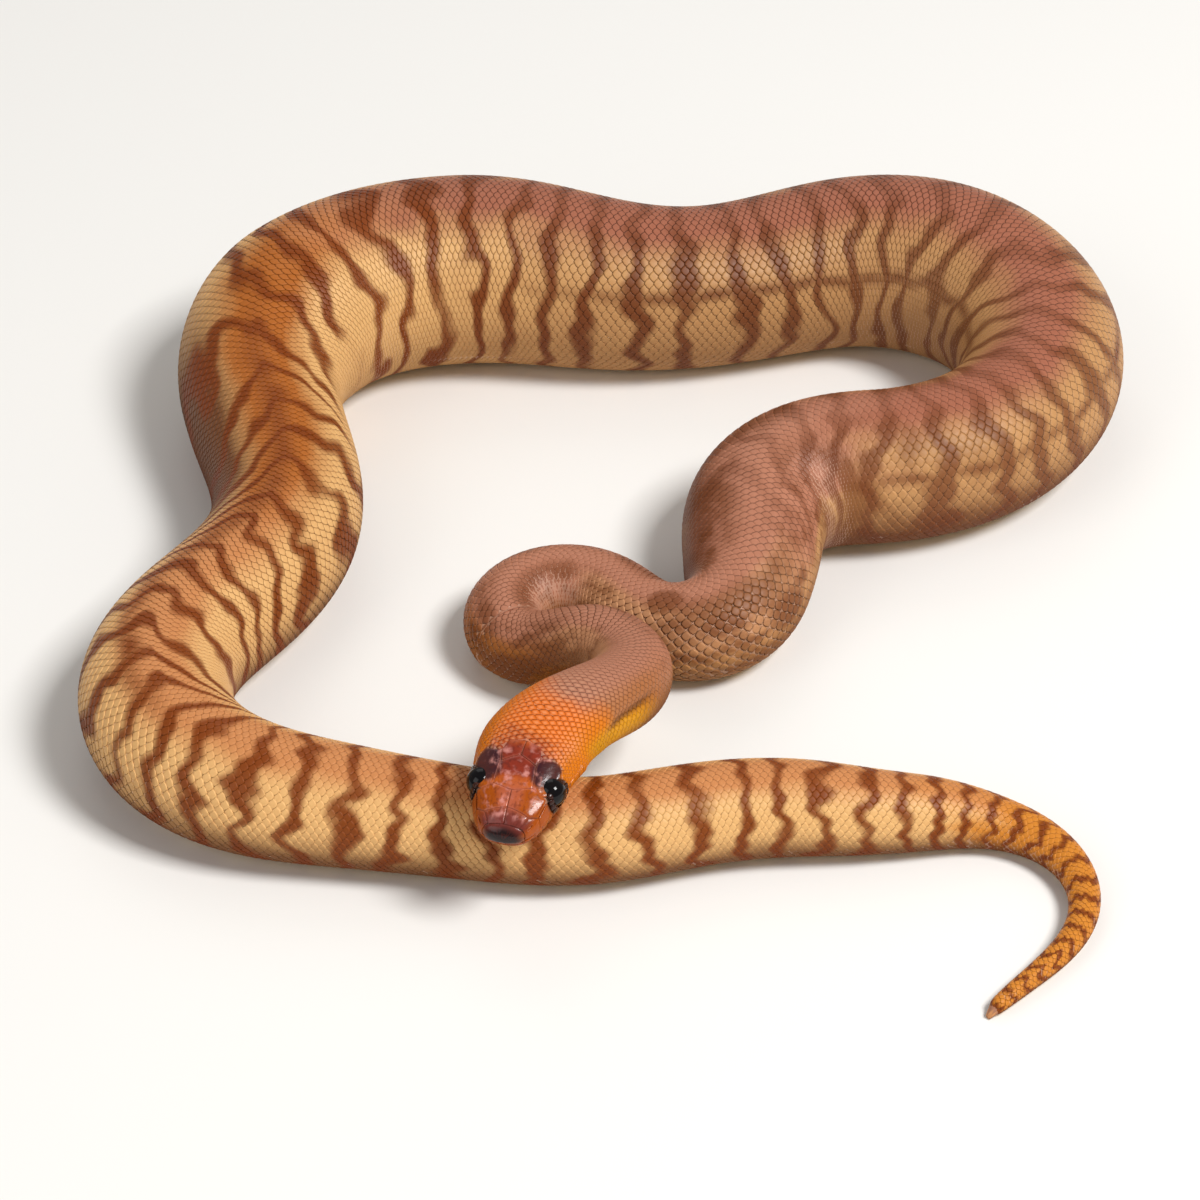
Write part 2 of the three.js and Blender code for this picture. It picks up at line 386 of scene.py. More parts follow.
@dataclass
class Face:
    """The folds and hollows of the head and neck: how far the skin stands in or out of the plain form.

    A side is a middle and a reach in degrees round the head, and a run is four edges along it.
    """

    body: Body
    mouth: Mouth
    eye: Eye
    lip_depth: float = 0.3
    lip_width: float = 0.3
    lip_start: Edges = (0.2, 1.4)
    lip_end: float = 2.0
    flatness: float = 0.75
    brow_side: Edges = (55.0, 10.0)
    brow_run: tuple[float, ...] = (4.0, 8.0, 10.5, 14.0)
    canthus: float = 0.18
    canthus_side: Edges = (74.0, 14.0)
    canthus_run: tuple[float, ...] = (2.5, 4.0, 5.0, 7.0)
    jowl: float = 0.25
    jowl_side: Edges = (86.0, 20.0)
    jowl_place: Edges = (15.5, 4.0)
    pouch_fold: float = 0.35
    fold_side: Edges = (0.0, 7.0)
    fold_from: float = 95.0
    fold_climb: float = 0.8
    pouch: float = 0.4
    pouch_side: Edges = (20.0, 14.0)
    pouch_run: tuple[float, ...] = (23.0, 27.0, 33.0, 39.0)
    pouch_top: Edges = (0.3, 0.8)

    def relief_at(self, place: np.ndarray, angle: np.ndarray) -> np.ndarray:
        """Gives the height of the folds.

        Args:
            place: places along the animal.
            angle: angles round the body, in radians.

        Returns:
            How far the skin stands out, or in where it is negative.
        """
        side = np.abs((angle + math.pi) % (2 * math.pi) - math.pi)
        side_width = self.body.half_width(place) * self.flatness
        off_line = (side - self.mouth.line_at(self.body, place)) * side_width
        lip_run = between(place, (*self.lip_start, self.mouth.corner, self.mouth.corner + self.lip_end))
        lips = self.lip_depth * swell(off_line, 0, self.lip_width) * lip_run
        from_eye = self.eye.distance(self.body, place, angle)
        socket = self.eye.socket_depth * swell(from_eye, 0, self.eye.socket_reach, self.eye.socket_sharpness)
        side = np.degrees(side)
        brow = self.eye.brow * swell(side, *self.brow_side) * between(place, self.brow_run)
        canthus = self.canthus * swell(side, *self.canthus_side) * between(place, self.canthus_run)
        jowl = self.jowl * swell(side, *self.jowl_side) * swell(place, *self.jowl_place)
        below = np.degrees(angle) + self.fold_climb * place - self.fold_from
        folded = between(place, self.pouch_run) * smooth_step(angle, *self.pouch_top)
        fold = self.pouch_fold * swell(below, *self.fold_side) * folded
        pouch = self.pouch * swell(below, *self.pouch_side) * folded
        hollows = np.where(place < self.body.head_end, lips + socket, 0)
        return brow + jowl + pouch - canthus - fold - hollows


# ---------------------------------------------------------------- meshes


def make_piece(name: str, mesh: bpy.types.Mesh, finish: bpy.types.Material) -> bpy.types.Object:
    """Puts a finished mesh into the scene as a piece that rides on the animal.

    Args:
        name: the piece's name.
        mesh: its mesh, in place.
        finish: its material.

    Returns:
        The new object.
    """
    mesh.materials.clear()
    mesh.materials.append(finish)
    piece = bpy.data.objects.new(name, mesh)
    bpy.context.scene.collection.objects.link(piece)
    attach(piece, "root")
    log.info("%s: %d faces", name, len(mesh.polygons))
    return piece


def smooth_faces(mesh: bpy.types.Mesh) -> None:
    """Shades every face of a mesh smoothly."""
    mesh.polygons.foreach_set("use_smooth", np.ones(len(mesh.polygons), bool))


def take_mesh(form: bmesh.types.BMesh, name: str) -> bpy.types.Mesh:
    """Turns a bmesh into a smoothly shaded mesh, and frees it.

    Args:
        form: the bmesh.
        name: the mesh's name.

    Returns:
        The mesh.
    """
    mesh = bpy.data.meshes.new(name)
    form.to_mesh(mesh)
    form.free()
    smooth_faces(mesh)
    return mesh


def set_uv(mesh: bpy.types.Mesh, maps: dict[str, np.ndarray]) -> None:
    """Writes UV maps into a mesh.

    Args:
        mesh: the mesh.
        maps: for each map's name, one pair of numbers for each vertex.
    """
    corners = np.zeros(len(mesh.loops), np.int32)
    mesh.loops.foreach_get("vertex_index", corners)
    for name, values in maps.items():
        layer = mesh.uv_layers.new(name=name)
        layer.data.foreach_set("uv", np.ascontiguousarray(values[corners], np.float32).ravel())


def set_form_uv(form: bmesh.types.BMesh, maps: dict[str, np.ndarray]) -> None:
    """Writes UV maps into a bmesh.

    Args:
        form: the bmesh.
        maps: for each map's name, one pair of numbers for each vertex.
    """
    layers = {name: form.loops.layers.uv.new(name) for name in maps}
    pairs = [(layers[name], values.tolist()) for name, values in maps.items()]
    form.verts.index_update()
    for face in form.faces:
        for loop in face.loops:
            for layer, values in pairs:
                loop[layer].uv = values[loop.vert.index]


@dataclass
class Form:
    """A small closed form that is repeated: its faces, and its corners with x across, y tailward, z up."""

    corners: np.ndarray
    faces: np.ndarray

    @classmethod
    def from_bmesh(cls, form: bmesh.types.BMesh) -> "Form":
        """Takes the triangles of a bmesh, and frees it.

        Args:
            form: the bmesh.

        Returns:
            The form.
        """
        bmesh.ops.triangulate(form, faces=form.faces[:])
        form.verts.index_update()
        corners = np.array([vertex.co[:] for vertex in form.verts])
        faces = np.array([[vertex.index for vertex in face.verts] for face in form.faces])
        form.free()
        return cls(corners, faces)

    def repeat(self, name: str, points: np.ndarray) -> bpy.types.Mesh:
        """Joins many copies of the form into one mesh.

        Args:
            name: the mesh's name.
            points: for each copy, the place in space of each corner, in millimetres.

        Returns:
            The joined mesh, in metres.
        """
        copies, corners, _ = points.shape
        faces = self.faces[None] + (np.arange(copies) * corners)[:, None, None]
        mesh = bpy.data.meshes.new(name)
        mesh.vertices.add(copies * corners)
        mesh.vertices.foreach_set("co", (points * MM).astype(np.float32).ravel())
        mesh.loops.add(faces.size)
        mesh.loops.foreach_set("vertex_index", faces.astype(np.int32).ravel())
        mesh.polygons.add(faces.size // 3)
        mesh.polygons.foreach_set("loop_start", np.arange(0, faces.size, 3, dtype=np.int32))
        mesh.update(calc_edges=True)
        smooth_faces(mesh)
        return mesh


@dataclass
class Tiles:
    """Many scales: the middle of each one, its half sizes, and how high it stands."""

    place: np.ndarray
    angle: np.ndarray
    half_length: np.ndarray
    half_width: np.ndarray
    height: np.ndarray

    def only(self, kept: np.ndarray) -> "Tiles":
        """Gives the scales for which kept is true."""
        return Tiles(*(getattr(self, measure.name)[kept] for measure in fields(self)))

    @classmethod
    def join(cls, parts: Sequence["Tiles"]) -> "Tiles":
        """Joins several lots of scales."""
        return cls(*(np.concatenate([getattr(part, one.name) for part in parts]) for one in fields(cls)))


@dataclass
class Bands:
    """The run of the dark bands: how many to the millimetre, and how each leans back from the spine."""

    crowding: Rows = (
        (0, 0.05), (100, 0.09), (140, 0.11), (165, 0.16), (205, 0.15), (235, 0.095), (262, 0.14),
        (310, 0.15), (335, 0.095), (352, 0.12), (375, 0.125), (405, 0.125), (430, 0.14), (450, 0.155),
        (545, 0.145), (572, 0.19), (590, 0.26), (634, 0.34),
    )
    lean_right: Rows = (
        (345, 0), (352, 4), (360, 12), (368, 20), (374, 22), (388, 9), (396, 6), (406, 9), (413, 13),
        (420, 12), (428, 9), (437, 5), (443, 12), (449, 26), (453, 30), (460, 24), (470, 13), (484, 0),
    )
    lean_left: Rows = (
        (112, 0), (136, -22), (150, -22), (176, 0), (338, 0), (356, -14), (364, -18), (370, -6), (376, 14),
        (384, 27), (395, 32), (404, 34), (416, 24), (430, 11), (444, 4), (456, 5), (470, 2), (480, 0),
    )
    lean_until: float = 0.75
    levels: int = 24
    reach: Edges = (-60.0, 700.0)
    spacing: float = 0.5

    def __post_init__(self) -> None:
        """Works out, for each step round the body, which place on the spine each band comes from."""
        self.stops = np.arange(*self.reach, self.spacing)
        self.count = np.cumsum(Curve(self.crowding)(self.stops)) * self.spacing
        self.roots = {}
        for side, rows in ((1, self.lean_left), (-1, self.lean_right)):
            lean = Curve(rows)(self.stops)
            turned = np.linspace(0, self.lean_until, self.levels + 1)
            reached = [np.maximum.accumulate(self.stops + lean * share) for share in turned]
            self.roots[side] = np.array([np.interp(self.stops, along, self.stops) for along in reached])

    def phase_at(self, place: np.ndarray, angle: np.ndarray) -> np.ndarray:
        """Gives a number that grows by one from each band to the next.

        Args:
            place: places along the animal.
            angle: angles round the body, in radians.

        Returns:
            The number at each point.
        """
        turned = np.minimum(np.abs(angle) / (math.pi / 2), self.lean_until) / self.lean_until * self.levels
        level = np.minimum(turned.astype(int), self.levels - 1)
        nearest = np.rint((place - self.stops[0]) / self.spacing).astype(int)
        stop = np.clip(nearest, 0, len(self.stops) - 1)
        share = turned - level
        root = place.astype(float)
        for side, roots in self.roots.items():
            mixed = roots[level, stop] * (1 - share) + roots[level + 1, stop] * share
            root = np.where(angle * side > 0, mixed + (place - self.stops[stop]), root)
        return np.interp(root, self.stops, self.count)

    def maps(self, place: np.ndarray, angle: np.ndarray) -> dict[str, np.ndarray]:
        """Gives the UV maps that the markings are painted by.

        Args:
            place: each vertex's place along the animal.
            angle: its angle round the body, in radians.

        Returns:
            For each map's name, one pair of numbers for each vertex.
        """
        turn = angle / math.pi
        phase = self.phase_at(place, angle)
        return {PLACE_MAP: np.stack([place * MM, turn], -1), BAND_MAP: np.stack([phase, turn], -1)}


@dataclass
class Coat:
    """The scales of the back, the flanks, the belly and the tail."""

    body: Body
    mouth: Mouth
    eye: Eye
    bands: Bands
    covered: Callable[[np.ndarray, np.ndarray, float], np.ndarray]
    rows: Rows = (
        (8, 22), (14, 24), (22, 23), (34, 20), (66, 18.5), (110, 20.5), (168, 25), (242, 28), (324, 31),
        (380, 28), (450, 26.5), (512, 21.5), (556, 19), (576, 16), (590, 12), (606, 9), (620, 6.5),
        (634, 4.5),
    )
    pitches: Rows = (
        (0, 0.62), (12, 0.74), (20, 0.88), (40, 1.05), (110, 1.18), (300, 1.25), (380, 1.16), (460, 1.12),
        (560, 1.15), (600, 1.0), (634, 0.8),
    )
    lowest_rows: tuple[float, ...] = (1.0, 1.05, 1.15, 1.35)
    row_fade: float = 2.5
    belly_angle: float = math.radians(146)
    chin_end: Edges = (19.0, 23.0)
    before_rings: float = 5.0
    ring_step: float = 0.25
    laying_step: float = 0.2
    snout_gap: float = 1.2
    tail_gap: float = 0.6
    overlap: float = 0.64
    breadth: float = 0.9
    narrowest: float = 0.5
    least_breadth: float = 0.8
    most_stretch: float = 1.15
    full_pitch: float = 1.2
    lowest_height: float = 0.5
    stretch_height: float = 1.1
    squeezed_height: float = 0.45
    plate_gap: float = 0.03
    eye_gap: float = 2.3
    eye_until: float = 12.0
    lip_gap: float = math.radians(4)
    rise: float = 0.085
    dome: float = 0.05
    settling: float = 0.03
    skin_depth: float = 0.3
    blur: float = 0.85
    fullness: float = 1.35
    scale_levels: Rows = ((0.9, 0.0, 1.0), (0.0, 0.62, 0.7), (-0.9, 1.0, 0.0), (-2.0, 0.0, -0.9))
    scute_ends: tuple[float, int] = (0.35, 6)
    scute_crown: tuple[float, int] = (0.6, 8)
    scute_thickness: float = 0.7
    scute_start: float = 20.5
    scute_end: float = 1.0
    scute_overlap: float = 0.66
    scute_tuck: float = 0.55
    scute_pitch: float = 1.4
    scute_rise: float = 0.16
    scute_dome: float = 0.12
    bake_patch: float = 0.0015
    bake_margin: float = 0.01
    bake_overhang: float = 2.0
    trunk_lengths: int = 8

    def scale_form(self, fullness: float) -> Form:
        """Makes one scale, from a sphere with a size and a height for each of its levels.

        Args:
            fullness: 1 for a rhomb, and more for a rounder and then a squarer form.

        Returns:
            The form of a low dome.
        """
        form = bmesh.new()
        bmesh.ops.create_uvsphere(form, u_segments=8, v_segments=3, radius=1.0)
        for vertex in form.verts:
            level = vertex.co.z
            size, height = next((size, height) for over, size, height in self.scale_levels if level > over)
            turn = math.atan2(vertex.co.y, vertex.co.x)
            spread = abs(math.cos(turn)) ** fullness + abs(math.sin(turn)) ** fullness
            reach = size * spread ** (-1 / fullness)
            vertex.co = (reach * math.cos(turn), reach * math.sin(turn), height)
        return Form.from_bmesh(form)

    def scute_form(self) -> Form:
        """Makes one belly scute.

        Returns:
            The form of a wide strip with rounded ends, closed underneath.
        """
        narrowing, roundness = self.scute_ends
        crown, flatness = self.scute_crown
        form = bmesh.new()
        bmesh.ops.create_grid(form, x_segments=9, y_segments=1, size=1.0)
        for vertex in form.verts:
            vertex.co.y *= 1 - narrowing * abs(vertex.co.x) ** roundness
            vertex.co.z = crown * (1 - vertex.co.x**flatness)
        bmesh.ops.solidify(form, geom=form.faces[:], thickness=self.scute_thickness)
        bmesh.ops.recalc_face_normals(form, faces=form.faces[:])
        return Form.from_bmesh(form)

    def ring_count(self, place: np.ndarray) -> np.ndarray:
        """Gives how many rings of scales lie in front of each place.

        Args:
            place: places along the animal.

        Returns:
            The number of rings, with its fraction.
        """
        stops = np.arange(-self.before_rings, self.body.length + self.before_rings, self.ring_step)
        count = np.cumsum(self.ring_step / Curve(self.pitches)(stops))
        return np.interp(place, stops, count)

    def ring_places(self, ring: np.ndarray, stops: np.ndarray) -> np.ndarray:
        """Gives the places at which a row comes to each whole ring."""
        numbers = np.arange(math.ceil(ring[0]), math.floor(ring[-1]) + 1)
        return np.interp(numbers, ring, stops)

    def side_rows(self, place: np.ndarray) -> tuple[np.ndarray, np.ndarray, np.ndarray]:
        """Lays out the rows of one side, from the spine down.

        Args:
            place: places along the animal.

        Returns:
            For each row and place, the row's width as a share of a full one, the angle of its middle, and
            the angle that a full width spans. The last row stands for the belly's edge.
        """
        down_to = self.lowest_angle(place)
        wanted = Curve(self.rows)(place) * down_to / self.belly_angle - len(self.lowest_rows)
        upper = int(np.ceil(wanted.max())) + 1
        widths = [np.clip((wanted - row) * self.row_fade + 0.5, 0, 1) for row in range(upper)]
        widths += [np.full_like(place, width) for width in self.lowest_rows]
        widths = np.array(widths)
        edges = np.cumsum(widths, axis=0) - widths[0] / 2
        middles = edges - widths / 2
        middles[0] = 0
        unit = down_to / edges[-1]
        return widths, middles * unit, np.broadcast_to(unit, widths.shape)

    def lowest_angle(self, place: np.ndarray) -> np.ndarray:
        """Gives the angle at which the rows end: under the chin they go all the way round."""
        return self.belly_angle + (math.pi - self.belly_angle) * (1 - smooth_step(place, *self.chin_end))

    def row_shift(self, widths: np.ndarray) -> np.ndarray:
        """Gives how far each row is shifted along against the spine's, so that rows interlock.

        Args:
            widths: the rows' widths as shares of a full one.

        Returns:
            The shift of each row at each place, in rings.
        """
        full = np.minimum(widths, 1)
        steps = (full[1:] + full[:-1]) / 4
        return np.concatenate([np.zeros_like(full[:1]), np.cumsum(steps, axis=0)])

    def lay_scales(self) -> Tiles:
        """Places the scales of the back and flanks.

        Returns:
            Every scale that is clear of the head's plates.
        """
        stops = np.arange(self.snout_gap, self.body.length - self.tail_gap, self.laying_step)
        widths, angles, units = self.side_rows(stops)
        rings = self.ring_count(stops)[None] + self.row_shift(widths)
        pitch = Curve(self.pitches)
        parts = []
        for row, ring in enumerate(rings):
            place = self.ring_places(ring, stops)
            width = np.interp(place, stops, widths[row])
            angle = np.interp(place, stops, angles[row])
            unit = np.interp(place, stops, units[row])
            half_width = self.breadth * unit * np.maximum(width, self.least_breadth)
            for side in (1, -1) if row else (1,):
                half_length = self.overlap * pitch(place)
                tiles = Tiles(place, side * angle, half_length, half_width, np.ones_like(place))
                parts.append(tiles.only(width > self.narrowest))
        tiles = Tiles.join(parts)
        stretch = self.body.stretch_at(tiles.place, tiles.angle)
        tiles.half_length = tiles.half_length * np.minimum(1, self.most_stretch / stretch)
        small = np.clip(pitch(tiles.place) / self.full_pitch, self.lowest_height, 1)
        tiles.height = small * np.clip(stretch * self.stretch_height, self.squeezed_height, 1)
        return tiles.only(self.outside_plates(tiles))

    def outside_plates(self, tiles: Tiles) -> np.ndarray:
        """Tells which scales are clear of the head's plates, lips and eyes.

        Args:
            tiles: the scales.

        Returns:
            True for each scale that is clear.
        """
        side = np.abs(tiles.angle)
        line = self.mouth.line_at(self.body, tiles.place)
        on_lips = (tiles.place < self.mouth.corner) & (np.abs(side - line) < self.lip_gap)
        near_eye = self.eye.distance(self.body, tiles.place, tiles.angle) < self.eye_gap
        near_eye &= (tiles.place < self.eye_until) & (side < line)
        return ~(self.covered(tiles.place, tiles.angle, self.plate_gap) | near_eye | on_lips)

    def points(self, form: Form, tiles: Tiles, rise: float, dome: float) -> np.ndarray:
        """Works out where each corner of each scale goes.

        Args:
            form: the form that is repeated.
            tiles: where it is repeated.
            rise: how far the rear edge of a scale stands over its front edge.
            dome: how high the middle stands over the edges.

        Returns:
            An array of copies, corners and x, y, z.
        """
        across, along, up = form.corners.T
        place = tiles.place[:, None] + along[None] * tiles.half_length[:, None]
        angle = tiles.angle[:, None] + across[None] * tiles.half_width[:, None]
        lift = (rise * (along + 1) / 2 + dome * up)[None] * tiles.height[:, None]
        return self.body.surface_at(place, angle, lift - self.skin_depth - self.settling)

    def map_piece(self, mesh: bpy.types.Mesh, form: Form, tiles: Tiles, span: Edges) -> None:
        """Writes the UV maps of a piece of the coat.

        The markings run on from scale to scale. In the bake's map each scale has a small patch of its own,
        at its root's place on the unrolled skin.

        Args:
            mesh: the piece's mesh.
            form: the form that is repeated.
            tiles: where it is repeated.
            span: the places between which the bake's map is spread.
        """
        across, along = form.corners[:, :2].T
        share = (tiles.place - span[0]) / (span[1] - span[0])
        turn = (tiles.angle % (2 * math.pi)) / (2 * math.pi)
        roots = [self.bake_margin + (1 - 2 * self.bake_margin) * value[:, None] for value in (share, turn)]
        bake = [roots[0] + self.bake_patch * along[None], roots[1] + self.bake_patch * across[None]]
        place = (tiles.place[:, None] + self.blur * along * tiles.half_length[:, None]).ravel()
        angle = (tiles.angle[:, None] + self.blur * across * tiles.half_width[:, None]).ravel()
        maps = {
            BAKE_MAP: np.stack(bake, -1).reshape(-1, 2),
            **self.bands.maps(place, angle),
            FORM_MAP: np.tile(form.corners[:, :2], (len(tiles.place), 1)),
        }
        set_uv(mesh, maps)

    def build(self, finish: bpy.types.Material) -> None:
        """Builds the scales in lengths, each one a piece.

        Args:
            finish: the scales' material.
        """
        form = self.scale_form(self.fullness)
        tiles = self.lay_scales()
        head_end, neck_end, vent = self.body.head_end, self.body.neck_end, self.body.vent
        lengths = {"scales_head": (0.0, head_end), "scales_neck": (head_end, neck_end)}
        step = (vent - neck_end) / self.trunk_lengths
        for i in range(self.trunk_lengths):
            start = neck_end + i * step
            lengths[f"scales_trunk_{i + 1}"] = (start, start + step)
        lengths["scales_tail"] = (vent, self.body.length + 1)
        for name, (start, stop) in lengths.items():
            part = tiles.only((tiles.place >= start) & (tiles.place < stop))
            mesh = form.repeat(name, self.points(form, part, self.rise, self.dome))
            self.map_piece(mesh, form, part, (start - self.bake_overhang, stop + self.bake_overhang))
            make_piece(name, mesh, finish)

    def build_belly(self, finish: bpy.types.Material) -> None:
        """Builds the scutes under the belly and tail.

        Args:
            finish: the scutes' material.
        """
        form = self.scute_form()
        stops = np.arange(self.scute_start, self.body.length - self.scute_end, self.laying_step)
        widths, _, units = self.side_rows(stops)
        place = self.ring_places(self.ring_count(stops) + self.row_shift(widths)[-1] + 0.5, stops)
        pitch = Curve(self.pitches)(place)
        reach = math.pi - self.lowest_angle(place) + self.scute_tuck * np.interp(place, stops, units[-1])
        height = np.clip(pitch / self.scute_pitch, self.lowest_height, 1)
        tiles = Tiles(place, np.full_like(place, math.pi), self.scute_overlap * pitch, reach, height)
        mesh = form.repeat("belly_scutes", self.points(form, tiles, self.scute_rise, self.scute_dome))
        self.map_piece(mesh, form, tiles, (18, self.body.length + 2))
        make_piece("belly_scutes", mesh, finish)


@dataclass
class Skin:
    """The one skin under the scales, from the snout to the tip of the tail."""

    body: Body
    bands: Bands
    sides: int = 144
    depth: float = 0.3
    tip_depth: float = 0.1
    tip_length: float = 1.0
    snout_rings: tuple[float, ...] = (-0.38, -0.3, -0.2, -0.1)
    steps: Rows = ((0, 24, 0.2), (24, 72, 0.7), (72, 634.2, 1.7))
    samples: int = 721
    lip_crowding: float = 2.2
    lip_side: Edges = (math.radians(110), math.radians(9))

    def rings(self) -> np.ndarray:
        """Gives the places of the skin's rings, close together on the head."""
        parts = [np.arange(start, stop, step) for start, stop, step in self.steps]
        return np.concatenate([self.snout_rings, *parts, [self.body.length]])

    def turns(self) -> np.ndarray:
        """Gives the angles of the skin's lengthwise lines, which crowd along the lips.

        Returns:
            The angles, from under the belly round to under the belly again.
        """
        even = np.linspace(0, math.pi, self.samples)
        crowd = 1 + self.lip_crowding * swell(even, *self.lip_side)
        total = np.concatenate([[0], np.cumsum((crowd[1:] + crowd[:-1]) / 2)])
        half = np.interp(np.linspace(0, total[-1], self.sides // 2 + 1), total, even)
        return np.concatenate([-half[::-1], half[1:]])

    def build(self, finish: bpy.types.Material) -> bpy.types.Object:
        """Wraps a grid round the body, joins its seam and closes its ends.

        Args:
            finish: the skin's material.

        Returns:
            The skin.
        """
        rings = self.rings()
        turns = self.turns()
        form = bmesh.new()
        bmesh.ops.create_grid(form, x_segments=len(rings) - 1, y_segments=len(turns) - 1, size=0.5)
        corners = np.array([vertex.co[:] for vertex in form.verts])
        place = rings[np.rint((corners[:, 0] + 0.5) * (len(rings) - 1)).astype(int)]
        angle = turns[np.rint((corners[:, 1] + 0.5) * (len(turns) - 1)).astype(int)]
        depth = np.where(place > self.body.length - self.tip_length, self.tip_depth, self.depth)
        set_form_uv(form, self.bands.maps(place, angle))
        for vertex, point in zip(form.verts, self.body.surface_at(place, angle, -depth) * MM):
            vertex.co = point
        bmesh.ops.remove_doubles(form, verts=form.verts[:], dist=TINY)
        open_edges = [edge for edge in form.edges if edge.is_boundary]
        bmesh.ops.holes_fill(form, edges=open_edges, sides=0)
        bmesh.ops.recalc_face_normals(form, faces=form.faces[:])
        return make_piece("skin", take_mesh(form, "skin"), finish)


@dataclass
class HeadPlates:
    """The plates of the snout and crown, and the scales of the lips.

    A corner of a plate is a place and degrees round the head from its middle line.
    """

    body: Body
    mouth: Mouth
    bands: Bands
    degree: float = 0.113
    suture: float = 0.045
    thickness: float = 0.34
    crest: float = 0.07
    dip: float = 0.03
    depth: float = 0.06
    settling: float = 0.13
    settling_run: Edges = (9.0, 14.0)
    rounding: float = 0.22
    cell: float = 0.16
    fewest_cells: int = 4
    cut: float = 1e-4
    nostril_middle: Edges = (2.15, 58.0)
    nostril_size: Edges = (0.34, 0.26)
    nostril_depth: float = 0.55
    lip_places: Edges = (0.8, 16.5)
    lip_slant: float = 0.12
    lip_rows: Rows = ((12, -2.0, -21.0, 0.36), (13, 2.5, 18.0, 1.0))
    under_eye: Edges = (5.9, 10.5)
    chin: Rows = ((0.5, 6.0), (1.5, 4.0))
    chin_line: float = 1.3
    chin_back: float = 2.6
    bake_start: float = 0.05
    bake_length: float = 20.0
    bake_turns: float = 2.2
    paired: dict[str, Rows] = field(
        default_factory=lambda: {
            "internasal": ((1.6, 0), (1.46, 34), (3.1, 38), (3.9, 0)),
            "nasal": ((1.46, 34), (1.1, 66), (0.75, 90), (3.0, 91), (3.7, 62), (3.1, 38)),
            "prefrontal": ((3.9, 0), (3.1, 38), (3.7, 58), (6.3, 53), (7.3, 24), (6.5, 0)),
            "loreal": ((3.7, 62), (3.0, 91), (6.2, 93), (6.1, 74), (6.3, 56)),
            "brow": ((7.3, 24), (6.5, 44), (7.1, 60), (10.1, 62), (12.5, 46), (12.3, 20), (10.7, 18)),
            "parietal": ((12.0, 0), (10.8, 17.5), (12.3, 20), (13.9, 15), (14.3, 0)),
        }
    )
    single: dict[str, Rows] = field(
        default_factory=lambda: {
            "rostral": (
                (-0.4, -106), (-0.4, 106), (0.45, 106), (1.1, 66), (1.46, 34), (1.6, 0), (1.46, -34),
                (1.1, -66), (0.45, -106),
            ),
            "frontal": ((6.5, 0), (7.3, 24), (10.7, 18), (12.0, 0), (10.7, -18), (7.3, -24)),
        }
    )

    def lip_outlines(self) -> list[Rows]:
        """Gives the corners of the scales along the left side's upper and lower lips.

        Returns:
            The corners of each scale.
        """
        found = []
        for count, near, far, eye_share in self.lip_rows:
            stops = np.linspace(*self.lip_places, count + 1)
            line = np.degrees(self.mouth.line_at(self.body, stops))
            for i in range(count):
                below_eye = self.under_eye[0] < stops[i] < self.under_eye[1]
                reach = far * (eye_share if below_eye else 1)
                low = ((stops[i], line[i] + near), (stops[i + 1], line[i + 1] + near))
                high = (stops[i + 1], line[i + 1] + reach), (stops[i], line[i] + reach)
                found.append((*low, *((place + self.lip_slant, turn) for place, turn in high)))
        return found

    def outlines(self) -> list[Rows]:
        """Gives the corners of every plate and lip scale.

        Returns:
            The corners of each plate.
        """
        found = list(self.single.values())
        halves = [*self.paired.values(), *self.lip_outlines()]
        for side in (1, -1):
            found += [tuple((place, side * turn) for place, turn in corners) for corners in halves]
        line = float(np.degrees(self.mouth.line_at(self.body, np.array([self.chin_line])))[0])
        left = [(place, line + below) for place, below in self.chin]
        right = [(place, 360 - turn) for place, turn in reversed(left)]
        return [*found, (*left, (self.chin_back, 180), *right)]

    def edges(self, corners: Rows) -> list[tuple[Vector, Vector]]:
        """Lays a plate on a flat sheet, in millimetres.

        Args:
            corners: the plate's corners, in order.

        Returns:
            For each edge of the plate, the corner that it starts from and the way inwards across it.
        """
        outline = [Vector((place, turn * self.degree, 0)) for place, turn in corners]
        middle = sum(outline, Vector((0, 0, 0))) / len(outline)
        found = []
        for one, other in zip(outline, outline[1:] + outline[:1]):
            along = (other - one).normalized()
            inward = Vector((-along.y, along.x, 0))
            found.append((one, inward * math.copysign(1, inward.dot(middle - one))))
        return found

    def covers(self, place: np.ndarray, angle: np.ndarray, margin: float) -> np.ndarray:
        """Tells which points of the head lie under a plate, or within a margin of one.

        Args:
            place: places along the head.
            angle: angles round it, in radians.
            margin: how near a plate counts, in millimetres.

        Returns:
            True for each point that is covered.
        """
        covered = np.zeros(place.shape, bool)
        across = np.degrees(angle) * self.degree
        for corners in self.outlines():
            inside = np.ones(place.shape, bool)
            for one, inward in self.edges(corners):
                inside &= (place - one.x) * inward.x + (across - one.y) * inward.y > -margin
            covered |= inside
        return covered

